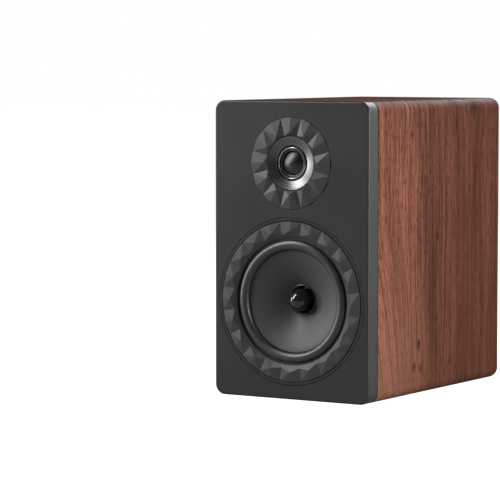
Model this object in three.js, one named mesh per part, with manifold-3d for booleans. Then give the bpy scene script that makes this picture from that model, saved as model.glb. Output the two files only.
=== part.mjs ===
// A two-way bookshelf speaker, in millimetres. +Z is up, the drivers face -Y and +X is to the right.
// The origin is the centre of the underside.
import * as THREE from "three";
import { mergeVertices } from "three/addons/utils/BufferGeometryUtils.js";
import Module from "manifold-3d";

// ---- Driving dimensions ------------------------------------------------------------------------
const CABINET_WIDTH = 204;
const CABINET_HEIGHT = 340;
const CABINET_DEPTH = 325; // baffle and back panel included
const WALL_THICKNESS = 15;
const BAFFLE_THICKNESS = 20;
const BACK_THICKNESS = 18;
const LONG_EDGE_RADIUS = 12; // the four edges that run from front to back
const REAR_EDGE_RADIUS = 10.4;
const FRONT_EDGE_RADIUS = 2;
const SHADOW_JOINT = 0.5; // between the baffle and the veneered sleeve
const BRACE_THICKNESS = 15;
const BRACE_FRAME_WIDTH = 26;
const BRACE_BAR_HEIGHT = 190; // middle of the bar across the brace
const BRACE_WINDOW_CORNER = 14;
const WADDING_THICKNESS = 24;
const WADDING_LENGTH = 90;
const WADDING_START = 12; // behind the brace
const WADDING_SIDE_GAP = 2;

const FIT_GAP = 0.3; // between pieces that are glued, screwed or laid against each other
const RUNNING_GAP = 0.7; // round the voice coils
const GRILLE_MAGNET_RADIUS = 6;
const GRILLE_MAGNET_THICKNESS = 4;
const GRILLE_MAGNET_INSET = 22; // from the sides, the top and the bottom of the baffle
const BAFFLE_SKIN = 2; // left in front of each grille magnet

const WOOFER_HEIGHT = 112;
const SURROUND_OUTER_RADIUS = 70.5; // of the roll
const SURROUND_ROLL_WIDTH = 11.8;
const WOOFER_TRIM_GAP = 2.4; // from the roll to the trim ring
const WOOFER_TRIM_WIDTH = 18.4;
const WOOFER_TRIM_GROOVE = 0.9; // from the trim ring to the rim of the frame
const WOOFER_RIM_WIDTH = 3.4;
const WOOFER_TRIM_FORM = {
  repeats: 20,
  innerHeight: -2.2,
  peakShare: 0.42, // of the ring's width, from its inner edge
  peakHeight: 2.1,
  valleyShare: 0.195,
  valleyHeight: -0.2,
  rimPeakHeight: 0.8,
};
const WOOFER_TRIM_SEAT = 3.5; // depth of the seat that the trim ring lies in
const WOOFER_FLANGE_THICKNESS = 7.7;
const WOOFER_REBATE_GAP = 0.4;
const WOOFER_SCREW_INSET = 8.4; // from the edge of the frame
const WOOFER_LAND_WIDTH = 4.6; // from the screw heads in to the hole in the baffle
const SURROUND_ROLL_HEIGHT = 5;
const SURROUND_THICKNESS = 1.1;
const SURROUND_SEAT = 5.2; // depth of the surround's outer lip
const SURROUND_LIP_WIDTH = 5.5;
const SURROUND_LIP_MARGIN = 1; // between the lip's edge and the basket
const SURROUND_SHELF_THICKNESS = 2.2;
const SURROUND_SHELF_INSET = 0.4; // from the roll to the shelf that carries the lip
const SURROUND_INNER_LIP = 4.5; // width of the lip that is glued behind the cone's rim
const CONE_RIM_DEPTH = 6.5;
const CONE_NECK_RADIUS = 17.7;
const CONE_NECK_DEPTH = 27;
const CONE_THICKNESS = 1.2;
const CONE_CURVE = 1.3; // 1 is a straight cone
const SPIDER_DEPTH = 40;
const SPIDER_OUTER_RADIUS = 48;
const SPIDER_WAVES = 3;
const SPIDER_WAVE_HEIGHT = 1.4;
const SPIDER_THICKNESS = 0.8;
const SPIDER_LIP = 3; // width of the flat edge that is glued to the basket
const WOOFER_FORMER_THICKNESS = 0.6;
const WOOFER_WINDING_THICKNESS = 1.2;
const WOOFER_WINDING_LENGTH = 14;
const WOOFER_FORMER_PROUD = 0.8; // in front of the cone's neck
const WOOFER_PLATE_DEPTH = 50; // front of the top plate
const WOOFER_PLATE_THICKNESS = 8;
const WOOFER_PLATE_RADIUS = 52;
const WOOFER_MAGNET_RADIUS = 55;
const WOOFER_MAGNET_BORE = 26;
const WOOFER_MAGNET_THICKNESS = 18;
const WOOFER_BACK_PLATE_RADIUS = 50;
const WOOFER_POLE_PROUD = 3; // in front of the top plate
const BASKET_WALL = 3;
const BASKET_HOLE_GAP = 0.6; // to the hole in the baffle
const BASKET_STRAIGHT_DEPTH = 15; // where the wall starts to slope in
const BASKET_WINDOW_EDGE = 2; // from there to the windows
const BASKET_WINDOW_END = 4; // from the windows to the spider's seat
const BASKET_REAR_LEDGE = 4; // of the rear hole beyond the magnet's bore
const BASKET_SPOKES = 6;
const BASKET_SPOKE_WIDTH = 12;
const BASKET_REAR_WIDTH = 9; // beyond the spider
const WOOFER_TAG = { x: -47, z: 40, width: 10, length: 8, above: 3, below: 8 };
const PLUG_RADIUS = 12.5;
const PLUG_APEX_DEPTH = 7.5;

const TWEETER_HEIGHT = 269.5;
const DOME_RADIUS = 13.3;
const DOME_SURROUND_WIDTH = 4.2;
const DOME_RING_WIDTH = 1.2;
const WAVEGUIDE_THROAT_GAP = 1.5; // from the dome's ring to the waveguide
const WAVEGUIDE_WIDTH = 11;
const WAVEGUIDE_THROAT_DEPTH = 2.8;
const WAVEGUIDE_BACK_DEPTH = 4.4;
const TWEETER_TRIM_WIDTH = 20.7;
const TWEETER_TRIM_FORM = {
  repeats: 12,
  innerHeight: 0,
  peakShare: 0.175, // of the ring's width, from its inner edge
  peakHeight: 3.2,
  valleyShare: 0.02,
  valleyHeight: 0.35,
  rimPeakHeight: 1,
};
const TWEETER_TRIM_SEAT = 3.3;
const TWEETER_PLATE_THICKNESS = 4.4;
const TWEETER_REBATE_GAP = 0.5;
const TWEETER_SCREW_INSET = 8.6; // from the edge of the plate
const TWEETER_LAND_WIDTH = 5.3; // from the screw heads in to the hole in the baffle
const GUIDE_LEDGE = 1; // of the waveguide's seat beyond the trim ring's opening
const DOME_SEAT_MARGIN = 0.4; // round the dome's ring and its surround's lip
const DOME_LIP_RISE = 0.6; // of the surround's lip in front of the dome's rim
const DOME_RING_DEPTH = 2.4;
const DOME_RIM_DEPTH = 6.6;
const DOME_APEX_DEPTH = 1.6;
const DOME_THICKNESS = 0.5;
const DOME_SURROUND_HEIGHT = 1.6;
const TWEETER_FORMER_THICKNESS = 0.5;
const TWEETER_COIL_BACK_DEPTH = 13.5;
const TWEETER_BOSS_RADIUS = 30; // of the boss behind the mounting plate
const TWEETER_BOSS_HEIGHT = 0.9;
const TWEETER_TAG = { width: 6, proud: 3.6, length: 6, overlap: 1.2 };
const TWEETER_TOP_PLATE_THICKNESS = 4;
const TWEETER_TOP_PLATE_RADIUS = 27;
const TWEETER_MAGNET_RADIUS = 29;
const TWEETER_MAGNET_GAP = 2.7; // from the voice coil to the magnet's bore
const TWEETER_MAGNET_THICKNESS = 12;
const TWEETER_BACK_PLATE_THICKNESS = 5;

const PORT_HEIGHT = 250;
const PORT_BORE_RADIUS = 22;
const PORT_WALL = 3;
const PORT_FLARE = 13; // radius of the rounded mouth
const PORT_FLANGE_WIDTH = 3; // beyond the flare
const PORT_FLANGE_THICKNESS = 3;
const PORT_LENGTH = 140;

const CUP_HEIGHT = 95;
const CUP_INNER_WIDTH = 92;
const CUP_INNER_HEIGHT = 72;
const CUP_DEPTH = 28;
const CUP_WALL = 2.5;
const CUP_CORNER_RADIUS = 8;
const CUP_FLANGE_WIDTH = 10.5;
const CUP_FLANGE_CORNER = 10;
const CUP_FLANGE_THICKNESS = 3;
const CUP_SCREW_INSET = 1; // from the middle of the flange towards the opening
const POST_SPACING = 36;
const POST_RADIUS = 3;
const POST_BASE_RADIUS = 7;
const POST_BASE_THICKNESS = 3;
const POST_LENGTH = 19; // proud of the cup floor
const WASHER_RADIUS = 5.5;
const WASHER_THICKNESS = 1.2;
const CAP_RADIUS = 7;
const CAP_LENGTH = 13;
const CAP_FLUTES = 8;
const CAP_FLUTE_DEPTH = 0.9;
const CAP_FLUTE_RADIUS = 1.5;
const CAP_FOOT = 3; // plain length next to the washer
const CAP_TOP = 1.5; // plain length at the outer end
const POST_CLEARANCE = 0.4; // round a post, in its washer and its cap
const NUT_ACROSS_FLATS = 10;
const NUT_THICKNESS = 4;

const BOARD_WIDTH = 120;
const BOARD_HEIGHT = 96;
const BOARD_THICKNESS = 1.6;
const BOARD_STANDOFF = 6; // from the cup floor to the board
const POST_TAIL = 2; // in front of each nut
const LOWER_ROW = -30; // height of the lower components, from the middle of the board
const UPPER_ROW = 28;
const WOOFER_INDUCTOR = { x: -38, bore: 8, radius: 17, height: 22 };
const TWEETER_INDUCTOR = { x: 42, bore: 5, radius: 10, height: 12 };
const CAPACITOR = { x: 2, radius: 8, length: 30 };
const RESISTOR = { width: 24, depth: 9, height: 9 };
const LEAD_RADIUS = 1.8;
const LEAD_EDGE = { side: 12, top: 8 }; // from the board's edges to where the leads leave it
const LEAD_WINDOW_GAP = 6; // between a lead and the side of the brace's window
const LEAD_STRAIGHT = 12; // length straight out of the board
const LEAD_STEPS = 6; // radii between two steps along a lead

const SCREW_HEAD_RADIUS = 3.4;
const SCREW_HEAD_HEIGHT = 1.8;
const SCREW_SHANK_RADIUS = 1.8;
const SCREW_LENGTH = 11;
const SCREW_CLEARANCE = 0.4;

const LARGE_CIRCLE = 32; // sides of a large circle
const MEDIUM_CIRCLE = 24;
const SMALL_CIRCLE = 12;
const SCREW_CIRCLE = 6;

// ---- Places that follow from them --------------------------------------------------------------
const FRONT = -CABINET_DEPTH / 2;
const BACK = CABINET_DEPTH / 2;
const SLEEVE_FRONT = FRONT + BAFFLE_THICKNESS + SHADOW_JOINT;
const SLEEVE_BACK = BACK - BACK_THICKNESS - FIT_GAP;
const HALF_INSIDE = CABINET_WIDTH / 2 - WALL_THICKNESS;
const CUP_FLOOR = BACK - CUP_DEPTH;
const CUP_UNDERSIDE = CUP_FLOOR - CUP_WALL;
const BOARD_BACK = CUP_UNDERSIDE - BOARD_STANDOFF;
const BOARD_FRONT = BOARD_BACK - BOARD_THICKNESS;
const BRACE_WINDOW_HALF = HALF_INSIDE - FIT_GAP - BRACE_FRAME_WIDTH;
const OVERCUT = 2; // how far a cutter runs past the face that it cuts

const WOOFER_TRIM_INNER = SURROUND_OUTER_RADIUS + WOOFER_TRIM_GAP;
const WOOFER_TRIM_OUTER = WOOFER_TRIM_INNER + WOOFER_TRIM_WIDTH;
const WOOFER_FRAME_RADIUS = WOOFER_TRIM_OUTER + WOOFER_TRIM_GROOVE + WOOFER_RIM_WIDTH;
const WOOFER_SCREW_CIRCLE = WOOFER_FRAME_RADIUS - WOOFER_SCREW_INSET;
const WOOFER_THROUGH_RADIUS = WOOFER_SCREW_CIRCLE - SCREW_HEAD_RADIUS - WOOFER_LAND_WIDTH;
const SURROUND_INNER_RADIUS = SURROUND_OUTER_RADIUS - SURROUND_ROLL_WIDTH;
const BASKET_REAR_RADIUS = SPIDER_OUTER_RADIUS + BASKET_REAR_WIDTH;
const DOME_RING_INNER_RADIUS = DOME_RADIUS + DOME_SURROUND_WIDTH;
const DOME_RING_OUTER_RADIUS = DOME_RING_INNER_RADIUS + DOME_RING_WIDTH;
const WAVEGUIDE_THROAT_RADIUS = DOME_RING_OUTER_RADIUS + WAVEGUIDE_THROAT_GAP;
const TWEETER_TRIM_INNER = WAVEGUIDE_THROAT_RADIUS + WAVEGUIDE_WIDTH;
const TWEETER_FRAME_RADIUS = TWEETER_TRIM_INNER + TWEETER_TRIM_WIDTH;
const TWEETER_SCREW_CIRCLE = TWEETER_FRAME_RADIUS - TWEETER_SCREW_INSET;
const TWEETER_THROUGH_RADIUS = TWEETER_SCREW_CIRCLE - SCREW_HEAD_RADIUS - TWEETER_LAND_WIDTH;
const TWEETER_PLATE_BACK = TWEETER_TRIM_SEAT + TWEETER_PLATE_THICKNESS;
const PORT_FLANGE_RADIUS = PORT_BORE_RADIUS + PORT_FLARE + PORT_FLANGE_WIDTH;

// ---- Materials ---------------------------------------------------------------------------------
const material = (color, roughness, metalness = 0) =>
  new THREE.MeshStandardMaterial({ color, roughness, metalness });
const MATERIALS = {
  baffle: material(0x3a3c3e, 0.55),
  walnut: material(0x6b4030, 0.5),
  fibreboard: material(0x9a7a56, 0.9),
  wadding: material(0xe6e4dc, 1),
  blackFrame: material(0x2b2c2e, 0.5),
  facets: material(0x3c3d3f, 0.45),
  rubber: material(0x1d1e1f, 0.5),
  cone: material(0x4a4b4c, 0.7),
  spider: material(0xb8863a, 0.9),
  gloss: material(0x0c0c0d, 0.15),
  steel: material(0x9a9da0, 0.35, 1),
  ferrite: material(0x2a2a2b, 0.7),
  copper: material(0xb4673a, 0.35, 1),
  aluminium: material(0xc9cbcd, 0.3, 1),
  silk: material(0x151516, 0.4),
  plastic: material(0x1a1a1b, 0.6),
  red: material(0xa81820, 0.4),
  brass: material(0xc8a24a, 0.3, 1),
  board: material(0x1d5a38, 0.6),
  capacitor: material(0x24406e, 0.5),
  ceramic: material(0xe3e0d6, 0.8),
};

// ---- Solids ------------------------------------------------------------------------------------
const wasm = await Module();
wasm.setup();

// The closed solid that a three.js geometry bounds.
function toSolid(geometry) {
  const bare = new THREE.BufferGeometry();
  bare.setAttribute("position", geometry.getAttribute("position"));
  if (geometry.index) bare.setIndex(geometry.index);
  const merged = mergeVertices(bare, 1e-4);
  const corners = merged.index.array;
  const kept = [];
  for (let i = 0; i < corners.length; i += 3) {
    const [a, b, c] = [corners[i], corners[i + 1], corners[i + 2]];
    if (a !== b && b !== c && c !== a) kept.push(a, b, c);
  }
  return new wasm.Manifold(
    new wasm.Mesh({
      numProp: 3,
      vertProperties: new Float32Array(merged.attributes.position.array),
      triVerts: new Uint32Array(kept),
    }),
  );
}

// A solid's surface as a flat-shaded geometry.
function toGeometry(solid) {
  const mesh = solid.getMesh();
  const geometry = new THREE.BufferGeometry();
  geometry.setAttribute("position", new THREE.BufferAttribute(mesh.vertProperties, 3));
  geometry.setIndex(new THREE.BufferAttribute(mesh.triVerts, 1));
  const flat = geometry.toNonIndexed();
  flat.computeVertexNormals();
  return flat;
}

// base less all the cutters, each a geometry.
function cut(base, ...cutters) {
  let solid = toSolid(base);
  for (const cutter of cutters) solid = solid.subtract(toSolid(cutter));
  return toGeometry(solid);
}

// All the geometries as one solid.
function join(...geometries) {
  let solid = toSolid(geometries[0]);
  for (const geometry of geometries.slice(1)) solid = solid.add(toSolid(geometry));
  return toGeometry(solid);
}

// A solid of revolution about Y. The outline is a list of [radius, y]. It closes on itself unless
// it starts and ends on the axis.
function turn(outline, sides) {
  const points = outline.map(([radius, y]) => new THREE.Vector2(radius, y));
  if (THREE.ShapeUtils.area(points) < 0) points.reverse();
  const onAxis = points[0].x === 0 && points[points.length - 1].x === 0;
  if (!onAxis) points.push(points[0].clone());
  return new THREE.LatheGeometry(points, sides);
}

// A round bar along Y.
const bar = (radius, from, to, sides) =>
  turn([[0, from], [radius, from], [radius, to], [0, to]], sides);

// A tube along Y.
const tube = (inner, outer, from, to, sides) =>
  turn([[inner, from], [outer, from], [outer, to], [inner, to]], sides);

// A box between two corners.
function block([x0, y0, z0], [x1, y1, z1]) {
  const box = new THREE.BoxGeometry(x1 - x0, y1 - y0, z1 - z0);
  return box.translate((x0 + x1) / 2, (y0 + y1) / 2, (z0 + z1) / 2);
}

// A rectangle with round corners, centred on (x, z).
function roundedRectangle(width, height, radius, x = 0, z = 0) {
  const [right, top] = [width / 2 - radius, height / 2 - radius];
  const shape = new THREE.Shape();
  shape.absarc(x + right, z + top, radius, 0, Math.PI / 2);
  shape.absarc(x - right, z + top, radius, Math.PI / 2, Math.PI);
  shape.absarc(x - right, z - top, radius, Math.PI, 1.5 * Math.PI);
  shape.absarc(x + right, z - top, radius, 1.5 * Math.PI, 2 * Math.PI);
  return shape;
}

// A shape drawn in X and Z, extruded along Y between two places.
function slab(shape, from, to, curveSegments = 6) {
  const geometry = new THREE.ExtrudeGeometry(shape, {
    depth: to - from,
    bevelEnabled: false,
    curveSegments,
  });
  return geometry.rotateX(Math.PI / 2).translate(0, to, 0);
}

// The cabinet's outline from y = from to y = to, with the edge at y = to rounded.
function roundedSlab(from, to, radius, steps) {
  const outline = roundedRectangle(CABINET_WIDTH, CABINET_HEIGHT, LONG_EDGE_RADIUS);
  const geometry = new THREE.ExtrudeGeometry(outline, {
    depth: Math.abs(to - from),
    bevelThickness: radius,
    bevelSize: radius,
    bevelOffset: -radius,
    bevelSegments: steps,
    curveSegments: 5,
  });
  // As extruded it runs up from z = 0 less one rounding, and both ends are rounded.
  geometry.translate(0, 0, -radius);
  geometry.rotateX(to > from ? -Math.PI / 2 : Math.PI / 2);
  geometry.translate(0, from, CABINET_HEIGHT / 2);
  const reach = CABINET_WIDTH + CABINET_HEIGHT;
  const beyond = to > from ? [from - reach, from] : [from, from + reach];
  const waste = block([-reach, beyond[0], -reach], [reach, beyond[1], reach]);
  return toGeometry(toSolid(geometry).subtract(toSolid(waste)));
}

// A screw that points along +Y, with the top of its head at y = 0. A clearance makes its hole.
function screwOutline(clearance = 0) {
  const head = SCREW_HEAD_RADIUS + clearance;
  const shank = SCREW_SHANK_RADIUS + clearance;
  const under = SCREW_HEAD_HEIGHT + (clearance ? FIT_GAP : 0);
  const end = SCREW_LENGTH + (clearance ? 1 : 0);
  const top = clearance ? -OVERCUT : 0;
  return [[0, top], [head, top], [head, under], [shank, under], [shank, end - 1], [0, end]];
}
const screw = () => turn(screwOutline(), SCREW_CIRCLE);
const screwHole = () => turn(screwOutline(SCREW_CLEARANCE), SCREW_CIRCLE);

// Places on a circle in X and Z: [x, z] for each of count angles from start, clockwise from the top.
const onCircle = (radius, count, start) =>
  Array.from({ length: count }, (_, i) => {
    const angle = start + (2 * Math.PI * i) / count;
    return [radius * Math.sin(angle), radius * Math.cos(angle)];
  });

// A folded ring round Y that faces -Y. Its valleys run out to the rim, and its peaks stand between
// them. A height is measured towards -Y from y = 0, and back is the y of the flat back.
function facetedRing(form, innerRadius, outerRadius, back) {
  const width = outerRadius - innerRadius;
  const count = 2 * form.repeats;
  const rows = { rim: [], fold: [], inner: [], innerBack: [], rimBack: [] };
  for (let i = 0; i < count; i++) {
    const angle = (Math.PI * (i + 1)) / form.repeats;
    const place = (radius, y) =>
      new THREE.Vector3(radius * Math.sin(angle), y, radius * Math.cos(angle));
    const isPeak = i % 2 === 1;
    const share = isPeak ? form.peakShare : form.valleyShare;
    rows.rim.push(place(outerRadius, isPeak ? -form.rimPeakHeight : 0));
    rows.fold.push(
      place(innerRadius + share * width, isPeak ? -form.peakHeight : -form.valleyHeight),
    );
    rows.inner.push(place(innerRadius, -form.innerHeight));
    rows.innerBack.push(place(innerRadius, back));
    rows.rimBack.push(place(outerRadius, back));
  }
  const positions = [];
  const face = (...corners) => corners.forEach((c) => positions.push(c.x, c.y, c.z));
  const band = (outer, inner) => {
    for (let i = 0; i < count; i++) {
      const next = (i + 1) % count;
      face(outer[i], inner[i], inner[next]);
      face(outer[i], inner[next], outer[next]);
    }
  };
  // Between the rim and the fold each half repeat is two flat facets that meet on the line from
  // the valley's outer end to the peak.
  const { rim, fold } = rows;
  for (let i = 0; i < count; i++) {
    const next = (i + 1) % count;
    const [valley, peak] = i % 2 ? [next, i] : [i, next];
    face(rim[i], fold[peak], rim[next]);
    face(rim[valley], fold[i], fold[next]);
  }
  band(rows.fold, rows.inner);
  band(rows.inner, rows.innerBack);
  band(rows.innerBack, rows.rimBack);
  band(rows.rimBack, rows.rim);
  const geometry = new THREE.BufferGeometry();
  geometry.setAttribute("position", new THREE.Float32BufferAttribute(positions, 3));
  geometry.computeVertexNormals();
  return geometry;
}

// A round lead along a smooth curve through the points.
function lead(points) {
  const curve = new THREE.CatmullRomCurve3(points.map((p) => new THREE.Vector3(...p)));
  const section = new THREE.Shape();
  section.absarc(0, 0, LEAD_RADIUS, 0, 2 * Math.PI);
  const steps = Math.round(curve.getLength() / (LEAD_STEPS * LEAD_RADIUS));
  return new THREE.ExtrudeGeometry(section, { extrudePath: curve, steps, curveSegments: 4 });
}

// ---- The model ---------------------------------------------------------------------------------
const speaker = new THREE.Group();

function add(group, name, geometry, look, place = [0, 0, 0], turned = [0, 0, 0]) {
  const mesh = new THREE.Mesh(geometry, MATERIALS[look]);
  mesh.name = name;
  mesh.position.set(...place);
  mesh.rotation.set(...turned);
  group.add(mesh);
  return mesh;
}

function groupAt(x, y, z) {
  const group = new THREE.Group();
  group.position.set(x, y, z);
  speaker.add(group);
  return group;
}

const wooferScrews = onCircle(WOOFER_SCREW_CIRCLE, 4, Math.PI / 4);
const tweeterScrews = onCircle(TWEETER_SCREW_CIRCLE, 3, Math.PI / 3);

// The cutter for a driver: a rebate for its frame and a hole for the rest of it.
function driverCutter(rebateRadius, rebateDepth, holeRadius, height) {
  const end = BAFFLE_THICKNESS + OVERCUT;
  const outline = [
    [0, -OVERCUT],
    [rebateRadius, -OVERCUT],
    [rebateRadius, rebateDepth],
    [holeRadius, rebateDepth],
    [holeRadius, end],
    [0, end],
  ];
  return turn(outline, LARGE_CIRCLE).translate(0, FRONT, height);
}

function makeBaffle() {
  const blank = roundedSlab(FRONT + BAFFLE_THICKNESS, FRONT, FRONT_EDGE_RADIUS, 2);
  const cutters = [
    driverCutter(
      WOOFER_FRAME_RADIUS + WOOFER_REBATE_GAP,
      WOOFER_FLANGE_THICKNESS + FIT_GAP,
      WOOFER_THROUGH_RADIUS,
      WOOFER_HEIGHT,
    ),
    driverCutter(
      TWEETER_FRAME_RADIUS + TWEETER_REBATE_GAP,
      TWEETER_PLATE_BACK + FIT_GAP,
      TWEETER_THROUGH_RADIUS,
      TWEETER_HEIGHT,
    ),
  ];
  const wooferTop = WOOFER_TRIM_SEAT + FIT_GAP;
  const tweeterTop = TWEETER_TRIM_SEAT + FIT_GAP;
  for (const [x, z] of wooferScrews)
    cutters.push(screwHole().translate(x, FRONT + wooferTop, WOOFER_HEIGHT + z));
  for (const [x, z] of tweeterScrews)
    cutters.push(screwHole().translate(x, FRONT + tweeterTop, TWEETER_HEIGHT + z));
  for (const [x, z] of grilleMagnetPlaces())
    cutters.push(
      bar(
        GRILLE_MAGNET_RADIUS + FIT_GAP,
        FRONT + BAFFLE_SKIN,
        FRONT + BAFFLE_THICKNESS + OVERCUT,
        SMALL_CIRCLE,
      ).translate(x, 0, z),
    );
  return cut(blank, ...cutters);
}

function grilleMagnetPlaces() {
  const x = CABINET_WIDTH / 2 - GRILLE_MAGNET_INSET;
  const top = CABINET_HEIGHT - GRILLE_MAGNET_INSET;
  return [
    [-x, GRILLE_MAGNET_INSET],
    [x, GRILLE_MAGNET_INSET],
    [-x, top],
    [x, top],
  ];
}

// One mitred side of the sleeve, lying along X with its outer face at the top.
function sleevePanel(span) {
  const shape = new THREE.Shape();
  const mitre = FIT_GAP * Math.SQRT1_2;
  const inner = span / 2 - WALL_THICKNESS - mitre;
  const centre = span / 2 - LONG_EDGE_RADIUS;
  const start = Math.PI / 4 + Math.asin(FIT_GAP / 2 / LONG_EDGE_RADIUS);
  shape.moveTo(-inner, -WALL_THICKNESS);
  shape.lineTo(inner, -WALL_THICKNESS);
  shape.absarc(centre, -LONG_EDGE_RADIUS, LONG_EDGE_RADIUS, start, Math.PI / 2);
  shape.absarc(-centre, -LONG_EDGE_RADIUS, LONG_EDGE_RADIUS, Math.PI / 2, Math.PI - start);
  return slab(shape, SLEEVE_FRONT, SLEEVE_BACK, 4);
}

function makeBackPanel() {
  const blank = roundedSlab(BACK - BACK_THICKNESS, BACK, REAR_EDGE_RADIUS, 4);
  const inside = BACK - BACK_THICKNESS - OVERCUT;
  const flange = PORT_FLANGE_RADIUS + FIT_GAP;
  const neck = PORT_BORE_RADIUS + PORT_WALL + PORT_FLARE / 2 + FIT_GAP;
  const portHole = turn(
    [
      [0, inside],
      [neck, inside],
      [neck, BACK - PORT_FLANGE_THICKNESS - FIT_GAP],
      [flange, BACK - PORT_FLANGE_THICKNESS - FIT_GAP],
      [flange, BACK + OVERCUT],
      [0, BACK + OVERCUT],
    ],
    MEDIUM_CIRCLE,
  ).translate(0, 0, PORT_HEIGHT);
  const tray = cupOutline(CUP_WALL + FIT_GAP);
  const rim = flangeOutline(FIT_GAP);
  const cutters = [
    portHole,
    slab(tray, inside, BACK + OVERCUT, 4),
    slab(rim, BACK - CUP_FLANGE_THICKNESS - FIT_GAP, BACK + OVERCUT, 4),
  ];
  for (const [x, z] of cupScrewPlaces())
    cutters.push(screwHole().rotateX(Math.PI).translate(x, BACK - FIT_GAP, z));
  return cut(blank, ...cutters);
}

// The cup's opening, grown by a margin on every side.
const cupOutline = (margin, corner = CUP_CORNER_RADIUS + margin) =>
  roundedRectangle(
    CUP_INNER_WIDTH + 2 * margin,
    CUP_INNER_HEIGHT + 2 * margin,
    corner,
    0,
    CUP_HEIGHT,
  );
const flangeOutline = (margin = 0) =>
  cupOutline(CUP_WALL + CUP_FLANGE_WIDTH + margin, CUP_FLANGE_CORNER + margin);

function cupScrewPlaces() {
  const margin = CUP_WALL + CUP_FLANGE_WIDTH / 2 - CUP_SCREW_INSET;
  const x = CUP_INNER_WIDTH / 2 + margin;
  const z = CUP_INNER_HEIGHT / 2 + margin;
  return [
    [-x, CUP_HEIGHT - z],
    [x, CUP_HEIGHT - z],
    [-x, CUP_HEIGHT + z],
    [x, CUP_HEIGHT + z],
  ];
}

function makeBrace() {
  const low = WALL_THICKNESS + FIT_GAP;
  const high = CABINET_HEIGHT - low;
  const side = HALF_INSIDE - FIT_GAP;
  const halfThickness = BRACE_THICKNESS / 2;
  const blank = block([-side, -halfThickness, low], [side, halfThickness, high]);
  const width = 2 * BRACE_WINDOW_HALF;
  const window = (bottom, top) =>
    slab(
      roundedRectangle(width, top - bottom, BRACE_WINDOW_CORNER, 0, (top + bottom) / 2),
      -halfThickness - OVERCUT,
      halfThickness + OVERCUT,
      3,
    );
  const halfBar = BRACE_FRAME_WIDTH / 2;
  return cut(
    blank,
    window(low + BRACE_FRAME_WIDTH, BRACE_BAR_HEIGHT - halfBar),
    window(BRACE_BAR_HEIGHT + halfBar, high - BRACE_FRAME_WIDTH),
  );
}

function buildCabinet() {
  const middle = CABINET_HEIGHT / 2;
  const quarter = Math.PI / 2;
  const half = CABINET_WIDTH / 2;
  add(speaker, "baffle", makeBaffle(), "baffle");
  add(speaker, "top_panel", sleevePanel(CABINET_WIDTH), "walnut", [0, 0, CABINET_HEIGHT]);
  add(speaker, "bottom_panel", sleevePanel(CABINET_WIDTH), "walnut", [0, 0, 0], [0, Math.PI, 0]);
  const upright = sleevePanel(CABINET_HEIGHT);
  add(speaker, "right_panel", upright, "walnut", [half, 0, middle], [0, quarter, 0]);
  add(speaker, "left_panel", upright.clone(), "walnut", [-half, 0, middle], [0, -quarter, 0]);
  add(speaker, "back_panel", makeBackPanel(), "walnut");
  add(speaker, "window_brace", makeBrace(), "fibreboard");
  const floor = WALL_THICKNESS + FIT_GAP;
  const start = BRACE_THICKNESS / 2 + WADDING_START;
  const side = HALF_INSIDE - WADDING_SIDE_GAP;
  const sheet = block(
    [-side, start, floor],
    [side, start + WADDING_LENGTH, floor + WADDING_THICKNESS],
  );
  add(speaker, "wadding", sheet, "wadding");
  grilleMagnetPlaces().forEach(([x, z], i) => {
    const disc = bar(GRILLE_MAGNET_RADIUS, 0, GRILLE_MAGNET_THICKNESS, SMALL_CIRCLE);
    add(speaker, "grille_magnet_" + (i + 1), disc, "steel", [x, FRONT + BAFFLE_SKIN + FIT_GAP, z]);
  });
}

// ---- Woofer: in its own group, with y the depth behind the front of the baffle ------------------
const FORMER_OUTER = CONE_NECK_RADIUS - FIT_GAP;
const FORMER_INNER = FORMER_OUTER - WOOFER_FORMER_THICKNESS;
const WINDING_OUTER = FORMER_OUTER + WOOFER_WINDING_THICKNESS;
const POLE_RADIUS = FORMER_INNER - RUNNING_GAP;
const MAGNET_FRONT = WOOFER_PLATE_DEPTH + WOOFER_PLATE_THICKNESS + FIT_GAP;
const BACK_PLATE_FRONT = MAGNET_FRONT + WOOFER_MAGNET_THICKNESS + FIT_GAP;
const POLE_FRONT = WOOFER_PLATE_DEPTH - WOOFER_POLE_PROUD;
const CONE_RIM_RADIUS = SURROUND_INNER_RADIUS - FIT_GAP;
const SURROUND_INNER_END = SURROUND_INNER_RADIUS - SURROUND_INNER_LIP;

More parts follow.
